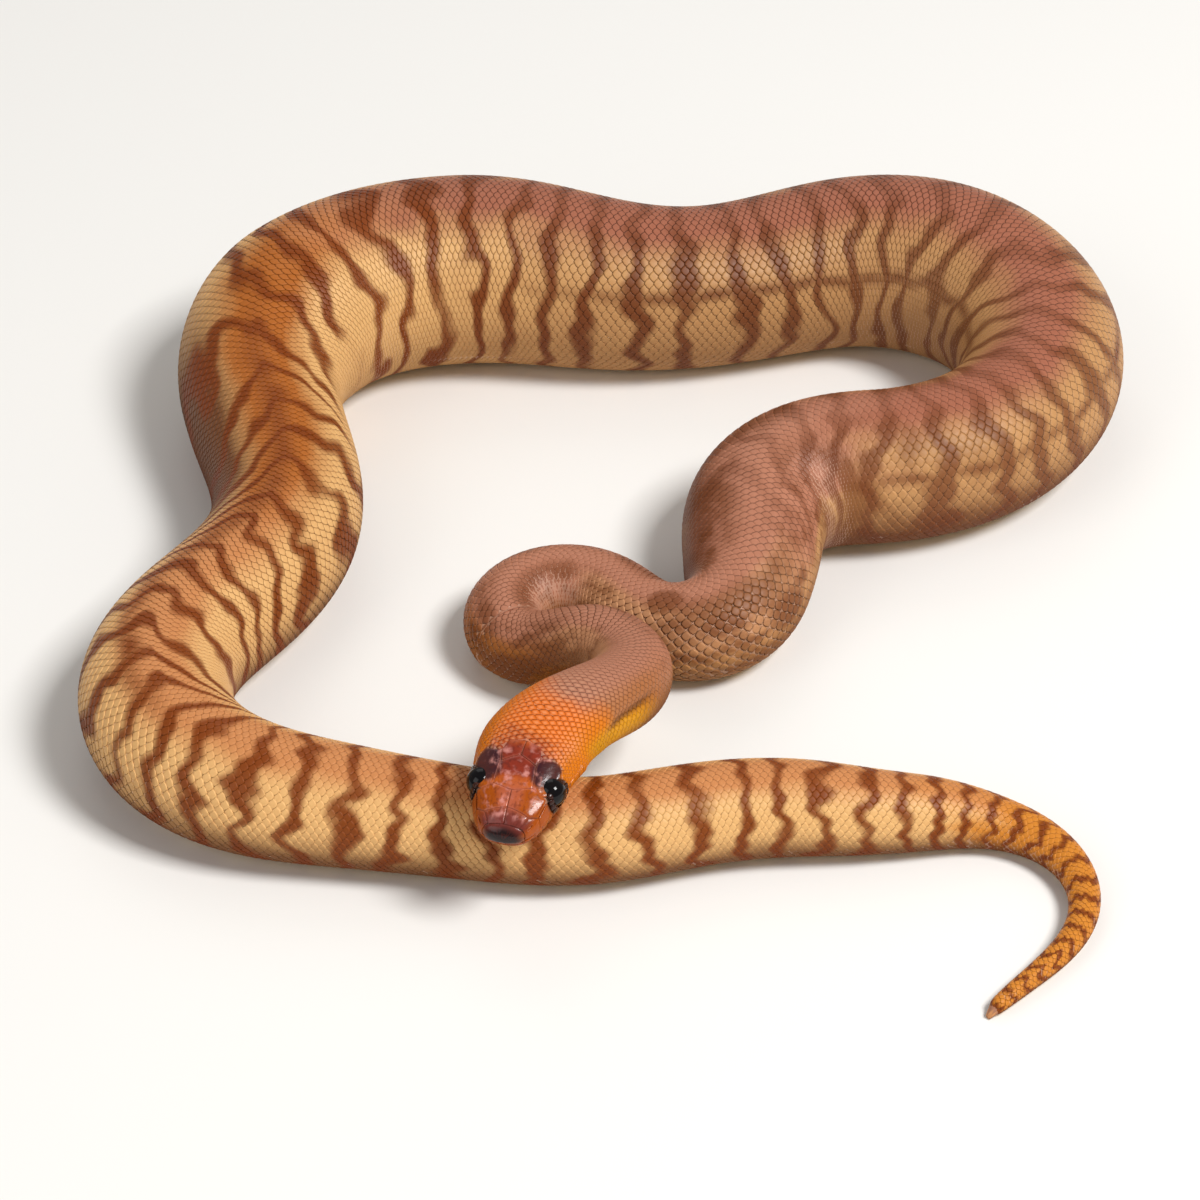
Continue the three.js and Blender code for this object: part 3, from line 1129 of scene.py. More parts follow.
    def cut_plate(self, corners: Rows) -> bmesh.types.BMesh:
        """Cuts one plate from a grid along the lines between its corners, and lays it on the head.

        Args:
            corners: the plate's corners, in order.

        Returns:
            The plate.
        """
        edges = self.edges(corners)
        low, high = (Vector([pick(line) for line in zip(*(one for one, _ in edges))]) for pick in (min, max))
        size = high - low
        columns, lines = (max(self.fewest_cells, round(length / self.cell)) for length in size.xy)
        plate = bmesh.new()
        bmesh.ops.create_grid(plate, x_segments=columns, y_segments=lines, size=0.5)
        bmesh.ops.scale(plate, vec=(size.x, size.y, 1), verts=plate.verts[:])
        bmesh.ops.translate(plate, vec=(low + high) / 2, verts=plate.verts[:])
        cuts = [(one + inward * self.suture / 2, inward) for one, inward in edges]
        for through, inward in cuts:
            if through.x < 0 < inward.x:
                continue
            bmesh.ops.bisect_plane(
                plate,
                geom=plate.verts[:] + plate.edges[:] + plate.faces[:],
                dist=self.cut,
                plane_co=through,
                plane_no=-inward,
                clear_outer=True,
            )
        self.lay(plate, [cut for cut in cuts if cut[0].x > 0])
        return plate

    def lay(self, plate: bmesh.types.BMesh, cuts: Sequence[tuple[Vector, Vector]]) -> None:
        """Rounds a flat plate's edges, gives it its thickness and lays it on the head.

        Args:
            plate: the plate.
            cuts: a point on each of its edges with the way inwards.
        """
        for vertex in plate.verts:
            margin = min((vertex.co - through).dot(inward) for through, inward in cuts)
            fall = math.exp(-max(margin, 0) / self.rounding)
            vertex.co.z = self.crest * (1 - fall) - self.dip * fall
        added = bmesh.ops.extrude_face_region(plate, geom=plate.faces[:], use_keep_orig=True)
        under = [item for item in added["geom"] if isinstance(item, bmesh.types.BMVert)]
        bmesh.ops.translate(plate, vec=(0, 0, -self.thickness), verts=under)
        place, across, up = np.array([vertex.co[:] for vertex in plate.verts]).T
        angle = np.radians(across / self.degree)
        rim = np.clip((self.crest - up) / (self.crest + self.dip), 0, 1)
        lift = up - self.depth - self.settling * smooth_step(place, *self.settling_run)
        points = self.body.surface_at(place, angle, lift + self.nostril(place, across / self.degree))
        bake_turn = angle / (self.bake_turns * math.pi)
        maps = {
            **self.bands.maps(place, angle),
            BAKE_MAP: np.stack([self.bake_start + place / self.bake_length, 0.5 + bake_turn], -1),
            FORM_MAP: np.stack([rim, np.zeros_like(rim)], -1),
        }
        set_form_uv(plate, maps)
        for vertex, point in zip(plate.verts, points):
            vertex.co = point * MM
        bmesh.ops.remove_doubles(plate, verts=plate.verts[:], dist=TINY)
        bmesh.ops.recalc_face_normals(plate, faces=plate.faces[:])

    def nostril(self, place: np.ndarray, degrees: np.ndarray) -> np.ndarray:
        """Hollows the nostril out of the nasal plate.

        Args:
            place: places along the head.
            degrees: degrees round it.

        Returns:
            The lift at each point, which is negative in the nostril.
        """
        along = (place - self.nostril_middle[0]) / self.nostril_size[0]
        across = (np.abs(degrees) - self.nostril_middle[1]) * self.degree / self.nostril_size[1]
        return -self.nostril_depth * np.exp(-((along**2 + across**2) ** 2))

    def build(self, finish: bpy.types.Material) -> None:
        """Builds the plates and lips as one piece.

        Args:
            finish: the plates' material.
        """
        whole = bmesh.new()
        for corners in self.outlines():
            part = take_mesh(self.cut_plate(corners), "plate")
            whole.from_mesh(part)
            bpy.data.meshes.remove(part)
        make_piece("head_plates", take_mesh(whole, "head_plates"), finish)


@dataclass
class Eyes:
    """The two eyes and the scales round them."""

    body: Body
    eye: Eye
    coat: Coat
    fullness: float = 3.0
    ring_scales: int = 14
    ring_reach: float = 1.9
    ring_width: float = 0.5
    ring_height: float = 0.17
    ring_slope: float = 0.13
    ring_dome: float = 0.1
    ring_shift: float = -0.33
    ring_overlap: float = 1.1
    round_side: float = 3.95

    def build_ball(self, name: str, finish: bpy.types.Material) -> None:
        """Builds a smooth eyeball where the frame's own eye is.

        Args:
            name: the frame's node that it stands for.
            finish: the eye's material.
        """
        low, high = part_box(name)
        ball = bmesh.new()
        bmesh.ops.create_uvsphere(ball, u_segments=64, v_segments=32, radius=(high - low).x / 2)
        bmesh.ops.translate(ball, vec=(low + high) / 2, verts=ball.verts[:])
        piece = make_piece(f"{name}_ball", take_mesh(ball, f"{name}_ball"), finish)
        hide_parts(name)

    def build_rings(self, finish: bpy.types.Material) -> None:
        """Builds the ring of small scales round each eye.

        Args:
            finish: the scales' material.
        """
        form = self.coat.scale_form(self.fullness)
        turn = np.arange(self.ring_scales) / self.ring_scales * 2 * math.pi
        middle = self.eye.along + self.ring_shift
        place = middle + self.ring_reach * np.cos(turn)
        angle = self.eye.angle() + self.ring_reach * np.sin(turn) / self.round_side
        half = math.pi * self.ring_reach / self.ring_scales
        across, along, up = form.corners.T
        out = self.ring_reach + along[None] * self.ring_width
        swing = turn[:, None] + across[None] * half * self.ring_overlap / self.ring_reach
        places = middle + out * np.cos(swing)
        angles = self.eye.angle() + out * np.sin(swing) / self.round_side
        lift = self.ring_height - self.ring_slope * along + self.ring_dome * up
        lift = np.broadcast_to(lift, places.shape)
        points = [self.body.surface_at(places, side * angles, lift) for side in (1, -1)]
        count = 2 * len(place)
        tiles = Tiles(
            np.concatenate([place, place]),
            np.concatenate([angle, -angle]),
            np.full(count, half),
            np.full(count, half / self.round_side),
            np.ones(count),
        )
        mesh = form.repeat("eye_ring_scales", np.concatenate(points))
        self.coat.map_piece(mesh, form, tiles, (0, self.body.head_end))
        make_piece("eye_ring_scales", mesh, finish)


# ---------------------------------------------------------------- shader maths


class Value:
    """A number or colour in a material, with sums written as Python expressions."""

    def __init__(self, nodes: "Nodes", socket: bpy.types.NodeSocket) -> None:
        """Keeps the material's nodes and the socket that gives the value."""
        self.nodes = nodes
        self.socket = socket

    def _maths(self, operation: str, *terms: Any) -> "Value":
        """Adds a Math node."""
        return self.nodes.add("ShaderNodeMath", {"operation": operation}, dict(enumerate(terms)))

    def __add__(self, other: Any) -> "Value":
        """Adds."""
        return self._maths("ADD", self, other)

    __radd__ = __add__

    def __sub__(self, other: Any) -> "Value":
        """Takes other away."""
        return self._maths("SUBTRACT", self, other)

    def __rsub__(self, other: Any) -> "Value":
        """Takes this away from other."""
        return self._maths("SUBTRACT", other, self)

    def __mul__(self, other: Any) -> "Value":
        """Multiplies."""
        return self._maths("MULTIPLY", self, other)

    __rmul__ = __mul__

    def __abs__(self) -> "Value":
        """Drops the sign."""
        return self._maths("ABSOLUTE", self)

    def cosine(self) -> "Value":
        """Gives the cosine of an angle in radians."""
        return self._maths("COSINE", self)

    def at_least(self, other: Any) -> "Value":
        """Gives the larger of the two."""
        return self._maths("MAXIMUM", self, other)

    def step(self, low: float, high: float) -> "Value":
        """Rises smoothly from 0 at one edge to 1 at the other.

        Args:
            low: where it is 0.
            high: where it is 1, which may lie before low.

        Returns:
            A number from 0 to 1.
        """
        if low > high:
            return 1 - self.step(high, low)
        settings = {"interpolation_type": "SMOOTHSTEP"}
        return self.nodes.add("ShaderNodeMapRange", settings, {0: self, 1: low, 2: high, 3: 0.0, 4: 1.0})

    def bump(self, middle: float, reach: float) -> "Value":
        """Is 1 at the middle and falls smoothly to 0 at the reach on each side."""
        return abs(self - middle).step(reach, 0.0)


class Nodes:
    """The nodes of one material."""

    def __init__(self, name: str) -> None:
        """Starts a material with only a Principled shader.

        Args:
            name: the material's name.
        """
        self.material = bpy.data.materials.new(name)
        self.material.use_nodes = True
        self.tree = self.material.node_tree
        self.shader = self.tree.nodes["Principled BSDF"]

    def add(self, kind: str, settings: dict[str, Any], inputs: dict[Any, Any], output: Any = 0) -> Value:
        """Adds a node.

        Args:
            kind: the node's type.
            settings: its settings, which are set first.
            inputs: for each socket, by number or name, a value or a link.
            output: the output that is wanted, by number or name.

        Returns:
            The output's value.
        """
        node = self.tree.nodes.new(kind)
        for name, value in settings.items():
            setattr(node, name, value)
        for name, value in inputs.items():
            self.feed(node.inputs[name], value)
        return Value(self, node.outputs[output])

    def feed(self, socket: bpy.types.NodeSocket, value: Any) -> None:
        """Links a value to a socket, or sets the socket where the value is plain.

        Args:
            socket: the socket.
            value: a Value, or a plain number or colour.
        """
        if isinstance(value, Value):
            self.tree.links.new(value.socket, socket)
        else:
            socket.default_value = value

    def uv(self, name: str) -> tuple[Value, Value]:
        """Reads a UV map.

        Args:
            name: the map's name.

        Returns:
            Its two numbers.
        """
        pair = self.add("ShaderNodeUVMap", {"uv_map": name}, {})
        split = self.add("ShaderNodeSeparateXYZ", {}, {0: pair}).socket.node
        return Value(self, split.outputs[0]), Value(self, split.outputs[1])

    def vector(self, x: Any, y: Any, z: Any = 0.0) -> Value:
        """Joins three numbers to a vector."""
        return self.add("ShaderNodeCombineXYZ", {}, {0: x, 1: y, 2: z})

    def noise(self, where: Value, scale: float, detail: float = 1.0, reach: float = 1.0) -> Value:
        """Gives a soft random number.

        Args:
            where: the vector that it changes with.
            scale: how fast it changes.
            detail: how much finer pattern it has.
            reach: how far it goes to both sides of 0.

        Returns:
            The number.
        """
        inputs = {"Vector": where, "Scale": scale, "Detail": detail, "Roughness": 0.5}
        noise = self.add("ShaderNodeTexNoise", {"noise_dimensions": "3D"}, inputs, "Fac")
        return (noise - 0.5) * (2 * reach)

    def fine_noise(self, scale: float, detail: float) -> Value:
        """Gives a fine random number from -1 to 1 that changes through space."""
        return self.noise(self.add("ShaderNodeTexCoord", {}, {}, "Object"), scale, detail)

    def relief(self, height: Value, strength: float) -> Value:
        """Gives the normal of a surface that is rough by a tenth of a millimetre.

        Args:
            height: the pattern of the roughness.
            strength: how strong it is.

        Returns:
            The normal.
        """
        inputs = {"Strength": strength, "Distance": 0.1 * MM, "Height": height}
        return self.add("ShaderNodeBump", {}, inputs, "Normal")

    def mix(self, factor: Any, one: Any, other: Any, blend: str = "MIX") -> Value:
        """Mixes two colours.

        Args:
            factor: the share of the second.
            one: the first colour, a Value or a tint.
            other: the second colour, a Value or a tint.
            blend: how the second is laid over the first.

        Returns:
            The mixed colour.
        """
        settings = {"data_type": "RGBA", "blend_type": blend}
        one, other = (end if isinstance(end, Value) else colour_of(end) for end in (one, other))
        return self.add("ShaderNodeMix", settings, {0: factor, 6: one, 7: other}, 2)

    def principled(self, **inputs: Any) -> bpy.types.Material:
        """Feeds the Principled shader.

        Args:
            inputs: for each socket, with _ for a space in its name, a value or a link.

        Returns:
            The material.
        """
        for name, value in inputs.items():
            self.feed(self.shader.inputs[name.replace("_", " ")], value)
        return self.material


def colour_of(tint: Tint) -> tuple[float, ...]:
    """Turns a tint, with red, green and blue from 0 to 255, to a colour for a shader.

    Args:
        tint: the tint.

    Returns:
        The colour, in linear numbers, with its alpha.
    """
    parts = [value / 255 for value in tint]
    linear = [part / 12.92 if part <= 0.04045 else ((part + 0.055) / 1.055) ** 2.4 for part in parts]
    return (*linear, 1.0)


# ---------------------------------------------------------------- markings


@dataclass(frozen=True)
class Spot:
    """Where a point of the skin lies, as values of one material.

    The place is in millimetres along the animal, the side in degrees down from the spine, and the turn in
    half turns from the spine, positive to the left.
    """

    nodes: Nodes
    place: Value
    side: Value
    turn: Value

    @classmethod
    def read(cls, nodes: Nodes) -> "Spot":
        """Reads the piece's own map of places."""
        metres, turn = nodes.uv(PLACE_MAP)
        return cls(nodes, metres * (1 / MM), abs(turn) * HALF_TURN, turn)


@dataclass(frozen=True)
class Cloud:
    """A soft random pattern that runs on over the skin: finer along or around for larger numbers."""

    along: float
    around: float
    layer: float = 0.0
    detail: float = 1.0
    reach: float = 1.0

    def over(self, spot: Spot) -> Value:
        """Gives a random number about 0, up to the reach on both sides."""
        where = spot.nodes.vector(spot.place * self.along, spot.turn * self.around, self.layer)
        return spot.nodes.noise(where, 1.0, self.detail, self.reach)


@dataclass(frozen=True)
class Area:
    """A soft-edged area of the skin, with edges in millimetres along the animal and in degrees round it.

    Edges come in pairs: the area fades in between two that rise, and fades out between two that fall.
    """

    along: tuple[float, ...] = ()
    around: tuple[float, ...] = ()
    strength: float = 1.0

    def over(self, place: Value, turned: Value) -> Value:
        """Gives the area's strength inside it and 0 outside.

        Args:
            place: the place along the animal.
            turned: the degrees round it, from which the edges are counted.

        Returns:
            The strength at each point.
        """
        inside = self.strength
        for where, edges in ((place, self.along), (turned, self.around)):
            for first, second in zip(edges[::2], edges[1::2]):
                edge = where.step(first, second)
                inside = edge if inside == 1.0 else edge * inside
        return inside


@dataclass(frozen=True)
class Oval:
    """A soft-edged oval on the skin: its middle, in millimetres and degrees, and how fast it fades."""

    place: float
    turned: float
    along: float
    around: float
    edge: Edges
    strength: float

    def over(self, place: Value, turned: Value, ragged: Any = 0.0) -> Value:
        """Gives the oval's strength inside it and 0 outside.

        Args:
            place: the place along the animal.
            turned: the degrees round it, from which the middle is counted.
            ragged: how far the edge wanders.

        Returns:
            The strength at each point.
        """
        along = (place - self.place) * self.along
        across = (turned - self.turned) * self.around
        return (along * along + across * across + ragged).step(*self.edge) * self.strength


@dataclass(frozen=True)
class Patch:
    """A tint laid over an area of one side: 1 is the left, -1 the right, and edges count from the spine."""

    tint: Tint
    side: int
    area: Area
    start: Edges | None = None
    waviness: float = 0.0

    def over(self, spot: Spot, ground: Value, drift: Value) -> Value:
        """Lays the patch over the ground.

        Args:
            spot: the point.
            ground: the ground colour.
            drift: how far the edges wander.

        Returns:
            The colour.
        """
        share = self.area.over(spot.place, spot.turn * (self.side * HALF_TURN) + drift)
        if self.start:
            share = share * (spot.place + drift * self.waviness).step(*self.start)
        return spot.nodes.mix(share, ground, self.tint)


@dataclass(frozen=True)
class Ground:
    """The ground colour of the body and tail and the areas that it changes in, with painted shade on the low
    sides and in the coils' hollows, and one patch of painted light.
    """

    flank: Tint = (226, 178, 116)
    mid_flank: Tint = (190, 142, 92)
    back: Tint = (200, 134, 82)
    mid_back: Tint = (162, 100, 76)
    bend_back: Tint = (172, 98, 36)
    neck: Tint = (178, 120, 94)
    low_neck: Tint = (156, 92, 12)
    fore_flank: Tint = (200, 152, 100)
    # Painted shade: the dark brown that the low sides and the shaded flanks between the coils are darkened
    # towards.
    painted_shade: Tint = (98, 44, 8)
    belly: Tint = (228, 196, 140)
    tail: Tint = (206, 130, 44)
    drift: Cloud = Cloud(0.1, 6.0, detail=2.0, reach=12.0)
    rear_flank: Edges = (285.0, 345.0)
    rear_back: Edges = (318.0, 366.0)
    bend: Area = Area(along=(342.0, 362.0, 432.0, 405.0))
    back_edge: Edges = (44.0, 14.0)
    fore_flank_edge: Edges = (58.0, 74.0)
    low_neck_edge: Edges = (50.0, 100.0)
    neck_end: Edges = (122.0, 140.0)
    fore_end: Edges = (176.0, 150.0)
    tail_start: Edges = (574.0, 592.0)
    # Painted shade on the low sides from the neck back; lit_right lifts it where the right flank faces the
    # light.
    shaded_low_sides: Area = Area(along=(24.0, 40.0), around=(70.0, 118.0), strength=0.86)
    lit_right: Area = Area(along=(200.0, 235.0, 392.0, 372.0), around=(40.0, 70.0), strength=0.7)
    patches: tuple[Patch, ...] = (
        # Painted shade on the left flank at the left bend, which faces away from the light.
        Patch(painted_shade, 1, Area((360.0, 378.0, 428.0, 408.0), (18.0, 48.0), 0.92)),
        Patch(low_neck, 1, Area((46.0, 34.0), (14.0, 50.0), 0.6)),
        # Painted light: the right side of the neck is made paler where it faces away from the light.
        Patch(fore_flank, -1, Area((32.0, 42.0, 66.0, 57.0), (20.0, 44.0, 104.0, 82.0), 0.4)),
        Patch(fore_flank, 1, Area((92.0, 102.0, 134.0, 124.0), (12.0, 34.0), 0.5)),
        # Painted shade on the right of the neck's bend, where its underside folds under.
        Patch(low_neck, -1, Area((84.0, 72.0), (34.0, 62.0), 0.75), (56.0, 64.0), 0.4),
        # Painted shade in the bend behind the neck, on the right.
        Patch(painted_shade, -1, Area((152.0, 138.0), (24.0, 50.0), 0.64), (110.0, 122.0), 0.6),
    )
    belly_area: Area = Area(around=(136.0, 150.0), strength=0.85)

    def colour(self, spot: Spot) -> Value:
        """Builds the ground colour.

        Args:
            spot: the point.

        Returns:
            The colour.
        """
        nodes, place, side = spot.nodes, spot.place, spot.side
        drift = self.drift.over(spot)
        drifted = place + drift
        flank = nodes.mix((drifted + drift).step(*self.rear_flank), self.mid_flank, self.flank)
        back = nodes.mix(drifted.step(*self.rear_back), self.mid_back, self.back)
        back = nodes.mix(self.bend.over(drifted, side), back, self.bend_back)
        colour = nodes.mix((side + drift).step(*self.back_edge), flank, back)
        fore = nodes.mix((side + drift * 1.5).step(*self.fore_flank_edge), self.neck, self.fore_flank)
        throat = nodes.mix((side + drift).step(*self.low_neck_edge), self.neck, self.low_neck)
        fore = nodes.mix(drifted.step(*self.neck_end), throat, fore)
        colour = nodes.mix(drifted.step(*self.fore_end), colour, fore)
        colour = nodes.mix(drifted.step(*self.tail_start), colour, self.tail)
        # Painted shade: the low sides are darkened towards the shade brown, less where the right flank faces
        # the light.
        lit = self.lit_right.over(place, spot.turn * -HALF_TURN)
        shade = self.shaded_low_sides.over(place, side + drift * 0.6) * (1 - lit)
        colour = nodes.mix(shade, colour, self.painted_shade)
        for patch in self.patches:
            colour = patch.over(spot, colour, drift)
        return nodes.mix(self.belly_area.over(place, side), colour, self.belly)


@dataclass(frozen=True)
class DarkMarks:
    """The dark bands, with the line along the side, the streak on the spine and the blotches of the neck."""

    band: Tint = (124, 56, 6)
    mid_band: Tint = (112, 58, 28)
    blotch: Tint = (112, 58, 20)
    wander: Cloud = Cloud(0.085, 4.8, reach=0.74)
    ragged: Cloud = Cloud(0.36, 14.0, layer=5.0, detail=0.0, reach=0.06)
    gaps: Cloud = Cloud(0.16, 3.4, layer=7.0)
    band_width: float = 0.46
    band_variation: float = 0.56
    band_edge: Edges = (-0.64, 0.58)
    line_drift: Cloud = Cloud(0.12, 1.0, layer=3.0, reach=9.0)
    line_middle: float = 63.0
    line_reach: float = 8.0
    line_run: Area = Area(along=(150.0, 175.0, 318.0, 290.0))
    bare_back: Area = Area(along=(330.0, 300.0), around=(24.0, 8.0), strength=0.45)
    bare_right: Area = Area(along=(352.0, 364.0, 404.0, 392.0), around=(52.0, 70.0), strength=0.9)
    streak_middle: float = 2.0
    streak_reach: float = 15.0
    streak_shift: float = 18.0
    streak_shifts: Edges = (410.0, 440.0)
    streak_start: Edges = (364.0, 378.0)
    streak_end: Edges = (472.0, 456.0)
    marked: Area = Area(along=(116.0, 160.0), around=(158.0, 140.0))
    blotches: Cloud = Cloud(0.11, 3.6, layer=11.0, detail=2.0)
    blotch_edge: Edges = (-0.12, 0.26)
    blotched: Area = Area(along=(40.0, 62.0, 196.0, 160.0), around=(150.0, 130.0, 0.0, 30.0), strength=0.72)
    haze: Cloud = Cloud(0.24, 8.0, layer=31.0, detail=3.0)
    haze_edge: Edges = (-0.1, 0.34)
    hazy: Area = Area(along=(34.0, 52.0, 176.0, 140.0), around=(8.0, 34.0), strength=0.72)
    neck_blotches: tuple[Oval, ...] = (
        Oval(111.5, 15.0, 0.36, 0.055, (1.4, 0.2), 0.8),
        Oval(117.5, 46.0, 0.36, 0.055, (1.4, 0.2), 0.8),
        Oval(124.0, 70.0, 0.36, 0.055, (1.4, 0.2), 0.8),
    )
    darkens: Edges = (285.0, 350.0)
    strengthens: Edges = (210.0, 320.0)

    def over(self, spot: Spot, ground: Value) -> Value:
        """Lays the marks over the ground.

        Args:
            spot: the point.
            ground: the ground colour.

        Returns:
            The colour.
        """
        nodes, place, side = spot.nodes, spot.place, spot.side
        left = spot.turn * HALF_TURN
        phase, _ = nodes.uv(BAND_MAP)
        ragged = self.ragged.over(spot)
        gaps = self.gaps.over(spot)
        wave = ((phase + self.wander.over(spot) + ragged) * (2 * math.pi)).cosine()
        mark = (wave - (self.band_width + gaps * self.band_variation)).step(*self.band_edge)
        drifted = side + self.line_drift.over(spot)
        line = self.line_run.over(place, side) * drifted.bump(self.line_middle, self.line_reach)
        mark = mark.at_least(line * (gaps * 0.6 + 0.8))
        mark = mark * (1 - self.bare_back.over(place, side + gaps * 10.0))
        mark = mark * (1 - self.bare_right.over(place, spot.turn * -HALF_TURN + gaps * 8.0))
        shifted = place.step(*self.streak_shifts) * self.streak_shift
        ridge = left + gaps * 9.0 + ragged * 20.0 - shifted
        streak = ridge.bump(self.streak_middle, self.streak_reach)
        streak = streak * (place + gaps * 6.0).step(*self.streak_start) * place.step(*self.streak_end)
        mark = mark.at_least(streak * (0.7 + gaps * 0.5)) * self.marked.over(place, side)
        blotch = self.blotches.over(spot).step(*self.blotch_edge)
        blotch = blotch * self.blotched.over(place, side)
        haze = self.haze.over(spot)
        blotch = blotch.at_least(haze.step(*self.haze_edge) * self.hazy.over(place, side))
        for oval in self.neck_blotches:
            blotch = blotch.at_least(oval.over(place, left, haze * 0.8))
        colour = nodes.mix(blotch, ground, self.blotch)
        dark = nodes.mix(place.step(*self.darkens), self.mid_band, self.band)
        return nodes.mix(mark * (place.step(*self.strengthens) * 0.17 + 0.8), colour, dark)


@dataclass(frozen=True)
class HeadMarks:
    """The colours of the head: an orange nape, a dark crown and snout, and patches over the eyes, with
    painted shade round the eyes and in the neck's fold and painted highlights on the snout, crown and brows.
    """

    nape: Tint = (224, 112, 30)
    side_head: Tint = (212, 116, 0)
    throat: Tint = (206, 142, 0)
    crown: Tint = (142, 50, 31)
    snout_side: Tint = (172, 80, 0)
    # A pinkish line along the top of the snout: partly the pale sutures, partly a painted highlight.
    snout_line_and_highlight: Tint = (196, 104, 74)
    nose: Tint = (110, 46, 47)
    tip: Tint = (30, 12, 14)
    patch: Tint = (40, 20, 36)
    spots: Tint = (92, 34, 26)
    # Painted highlight: pale pink spots on the crown, brows and snout.
    painted_highlight: Tint = (236, 164, 154)
    # Painted shade: the dark line along the neck's fold.
    fold: Tint = (112, 64, 14)
    drift: Cloud = Cloud(0.3, 5.0, detail=2.0)
    fine: Cloud = Cloud(0.9, 16.0, layer=2.0, detail=2.0)
    mottle: Cloud = Cloud(1.5, 34.0, layer=9.0, detail=2.0)
    pale: Cloud = Cloud(0.6, 13.0, layer=24.0, detail=3.0)
    nape_edge: Edges = (22.0, 58.0)
    throat_area: Area = Area(along=(15.0, 22.0), around=(56.0, 86.0))
    snout_end: Edges = (9.5, 6.0)
    crown_start: Edges = (7.4, 9.4)
    crown_area: Area = Area(along=(16.5, 12.4), around=(44.0, 14.0))
    line_area: Area = Area(along=(9.0, 6.0), around=(22.0, 4.0), strength=0.8)
    nose_area: Area = Area(along=(4.6, 2.4), around=(66.0, 40.0), strength=0.85)
    tip_area: Area = Area(along=(1.75, 0.6), around=(118.0, 80.0))
    patch_oval: Oval = Oval(10.2, 35.0, 0.36, 0.046, (1.3, 0.5), 0.92)
    # Dark scales round the eye, with painted shade in its socket.
    socket_shade_oval: Oval = Oval(8.2, 76.0, 0.36, 0.029, (1.1, 0.6), 0.95)
    mottled: Area = Area(along=(17.0, 14.0), around=(70.0, 50.0), strength=0.5)
    mottle_edge: Edges = (-0.05, 0.4)
    # Where the painted highlight lies on top of the head.
    highlight_area: Area = Area(along=(1.8, 3.0, 15.0, 12.0), around=(46.0, 28.0), strength=0.72)
    highlight_edge: Edges = (0.0, 0.4)
    fold_middle: float = 95.0
    fold_reach: float = 9.0
    fold_area: Area = Area(along=(23.0, 26.0, 37.0, 32.0), strength=0.85)
    fold_side: Edges = (0.1, 0.2)
    nape_end: Edges = (24.5, 19.0)
    throat_end: Area = Area(along=(37.0, 30.0), around=(90.0, 100.0))

    def over(self, spot: Spot, body: Value) -> Value:
        """Lays the head's colours over the body's.

        Args:
            spot: the point.
            body: the body's colour.

        Returns:
            The colour.
        """
        nodes, place, side, turn = spot.nodes, spot.place, spot.side, spot.turn
        drift = self.drift.over(spot)
        fine = self.fine.over(spot)
        drifted = place + drift
        colour = nodes.mix((side + drift * 10.0).step(*self.nape_edge), self.nape, self.side_head)
        low = self.throat_area.over(drifted, side + drift * 8.0)
        colour = nodes.mix(low, colour, self.throat)
        colour = nodes.mix(drifted.step(*self.snout_end), colour, self.snout_side)
        crown = self.crown_area.over(place + drift * 2.0 + fine, side + drift * 10.0 + fine * 8.0)
        colour = nodes.mix(crown * place.step(*self.crown_start), colour, self.crown)
        # Partly painted highlight: a pinkish line along the snout's middle, over the pale sutures.
        line = self.line_area.over(drifted, side + fine * 6.0)
        colour = nodes.mix(line, colour, self.snout_line_and_highlight)
        nose = self.nose_area.over(place + side * 0.014 + drift * 0.9, side)
        colour = nodes.mix(nose, colour, self.nose)
        tip = self.tip_area.over(place + drift * 0.25 + side * 0.006, side)
        colour = nodes.mix(tip, colour, self.tip)
        colour = nodes.mix(self.patch_oval.over(place, side, fine * 0.4), colour, self.patch)
        # Dark scales and painted shade round the eye.
        colour = nodes.mix(self.socket_shade_oval.over(place, side), colour, self.tip)
        spots = self.mottle.over(spot).step(*self.mottle_edge) * self.mottled.over(place, side)
        colour = nodes.mix(spots, colour, self.spots)
        # Painted highlight: pale pink spots on top of the head.
        painted_highlight = self.pale.over(spot).step(*self.highlight_edge) * self.highlight_area.over(place, side)
        colour = nodes.mix(painted_highlight, colour, self.painted_highlight)
        behind = (place + turn * 2.0 + drift * 2.2 - side * 0.06).step(*self.nape_end)
        low_behind = self.throat_end.over(place + drift * 2.0, side + place * 0.8)
        colour = nodes.mix(behind.at_least(low_behind), body, colour)
        # Painted shade along the fold of the neck.
        fold = (side + drift * 6.0 + place * 0.8).bump(self.fold_middle, self.fold_reach)
        fold = fold * self.fold_area.over(place, side) * turn.step(*self.fold_side)
        return nodes.mix(fold, colour, self.fold)


@dataclass(frozen=True)
class Markings:
    """The animal's colours, the same on its skin, scales and plates, with painted shade and painted
    highlights among them.
    """

    ground: Ground = Ground()
    dark_marks: DarkMarks = DarkMarks()
    head_marks: HeadMarks = HeadMarks()

    def colour(self, nodes: Nodes) -> Value:
        """Builds the markings from a piece's own maps.

        Args:
            nodes: the material's nodes.

        Returns:
            The colour.
        """
        spot = Spot.read(nodes)
        marked = self.dark_marks.over(spot, self.ground.colour(spot))
        return self.head_marks.over(spot, marked)


# ---------------------------------------------------------------- finishes


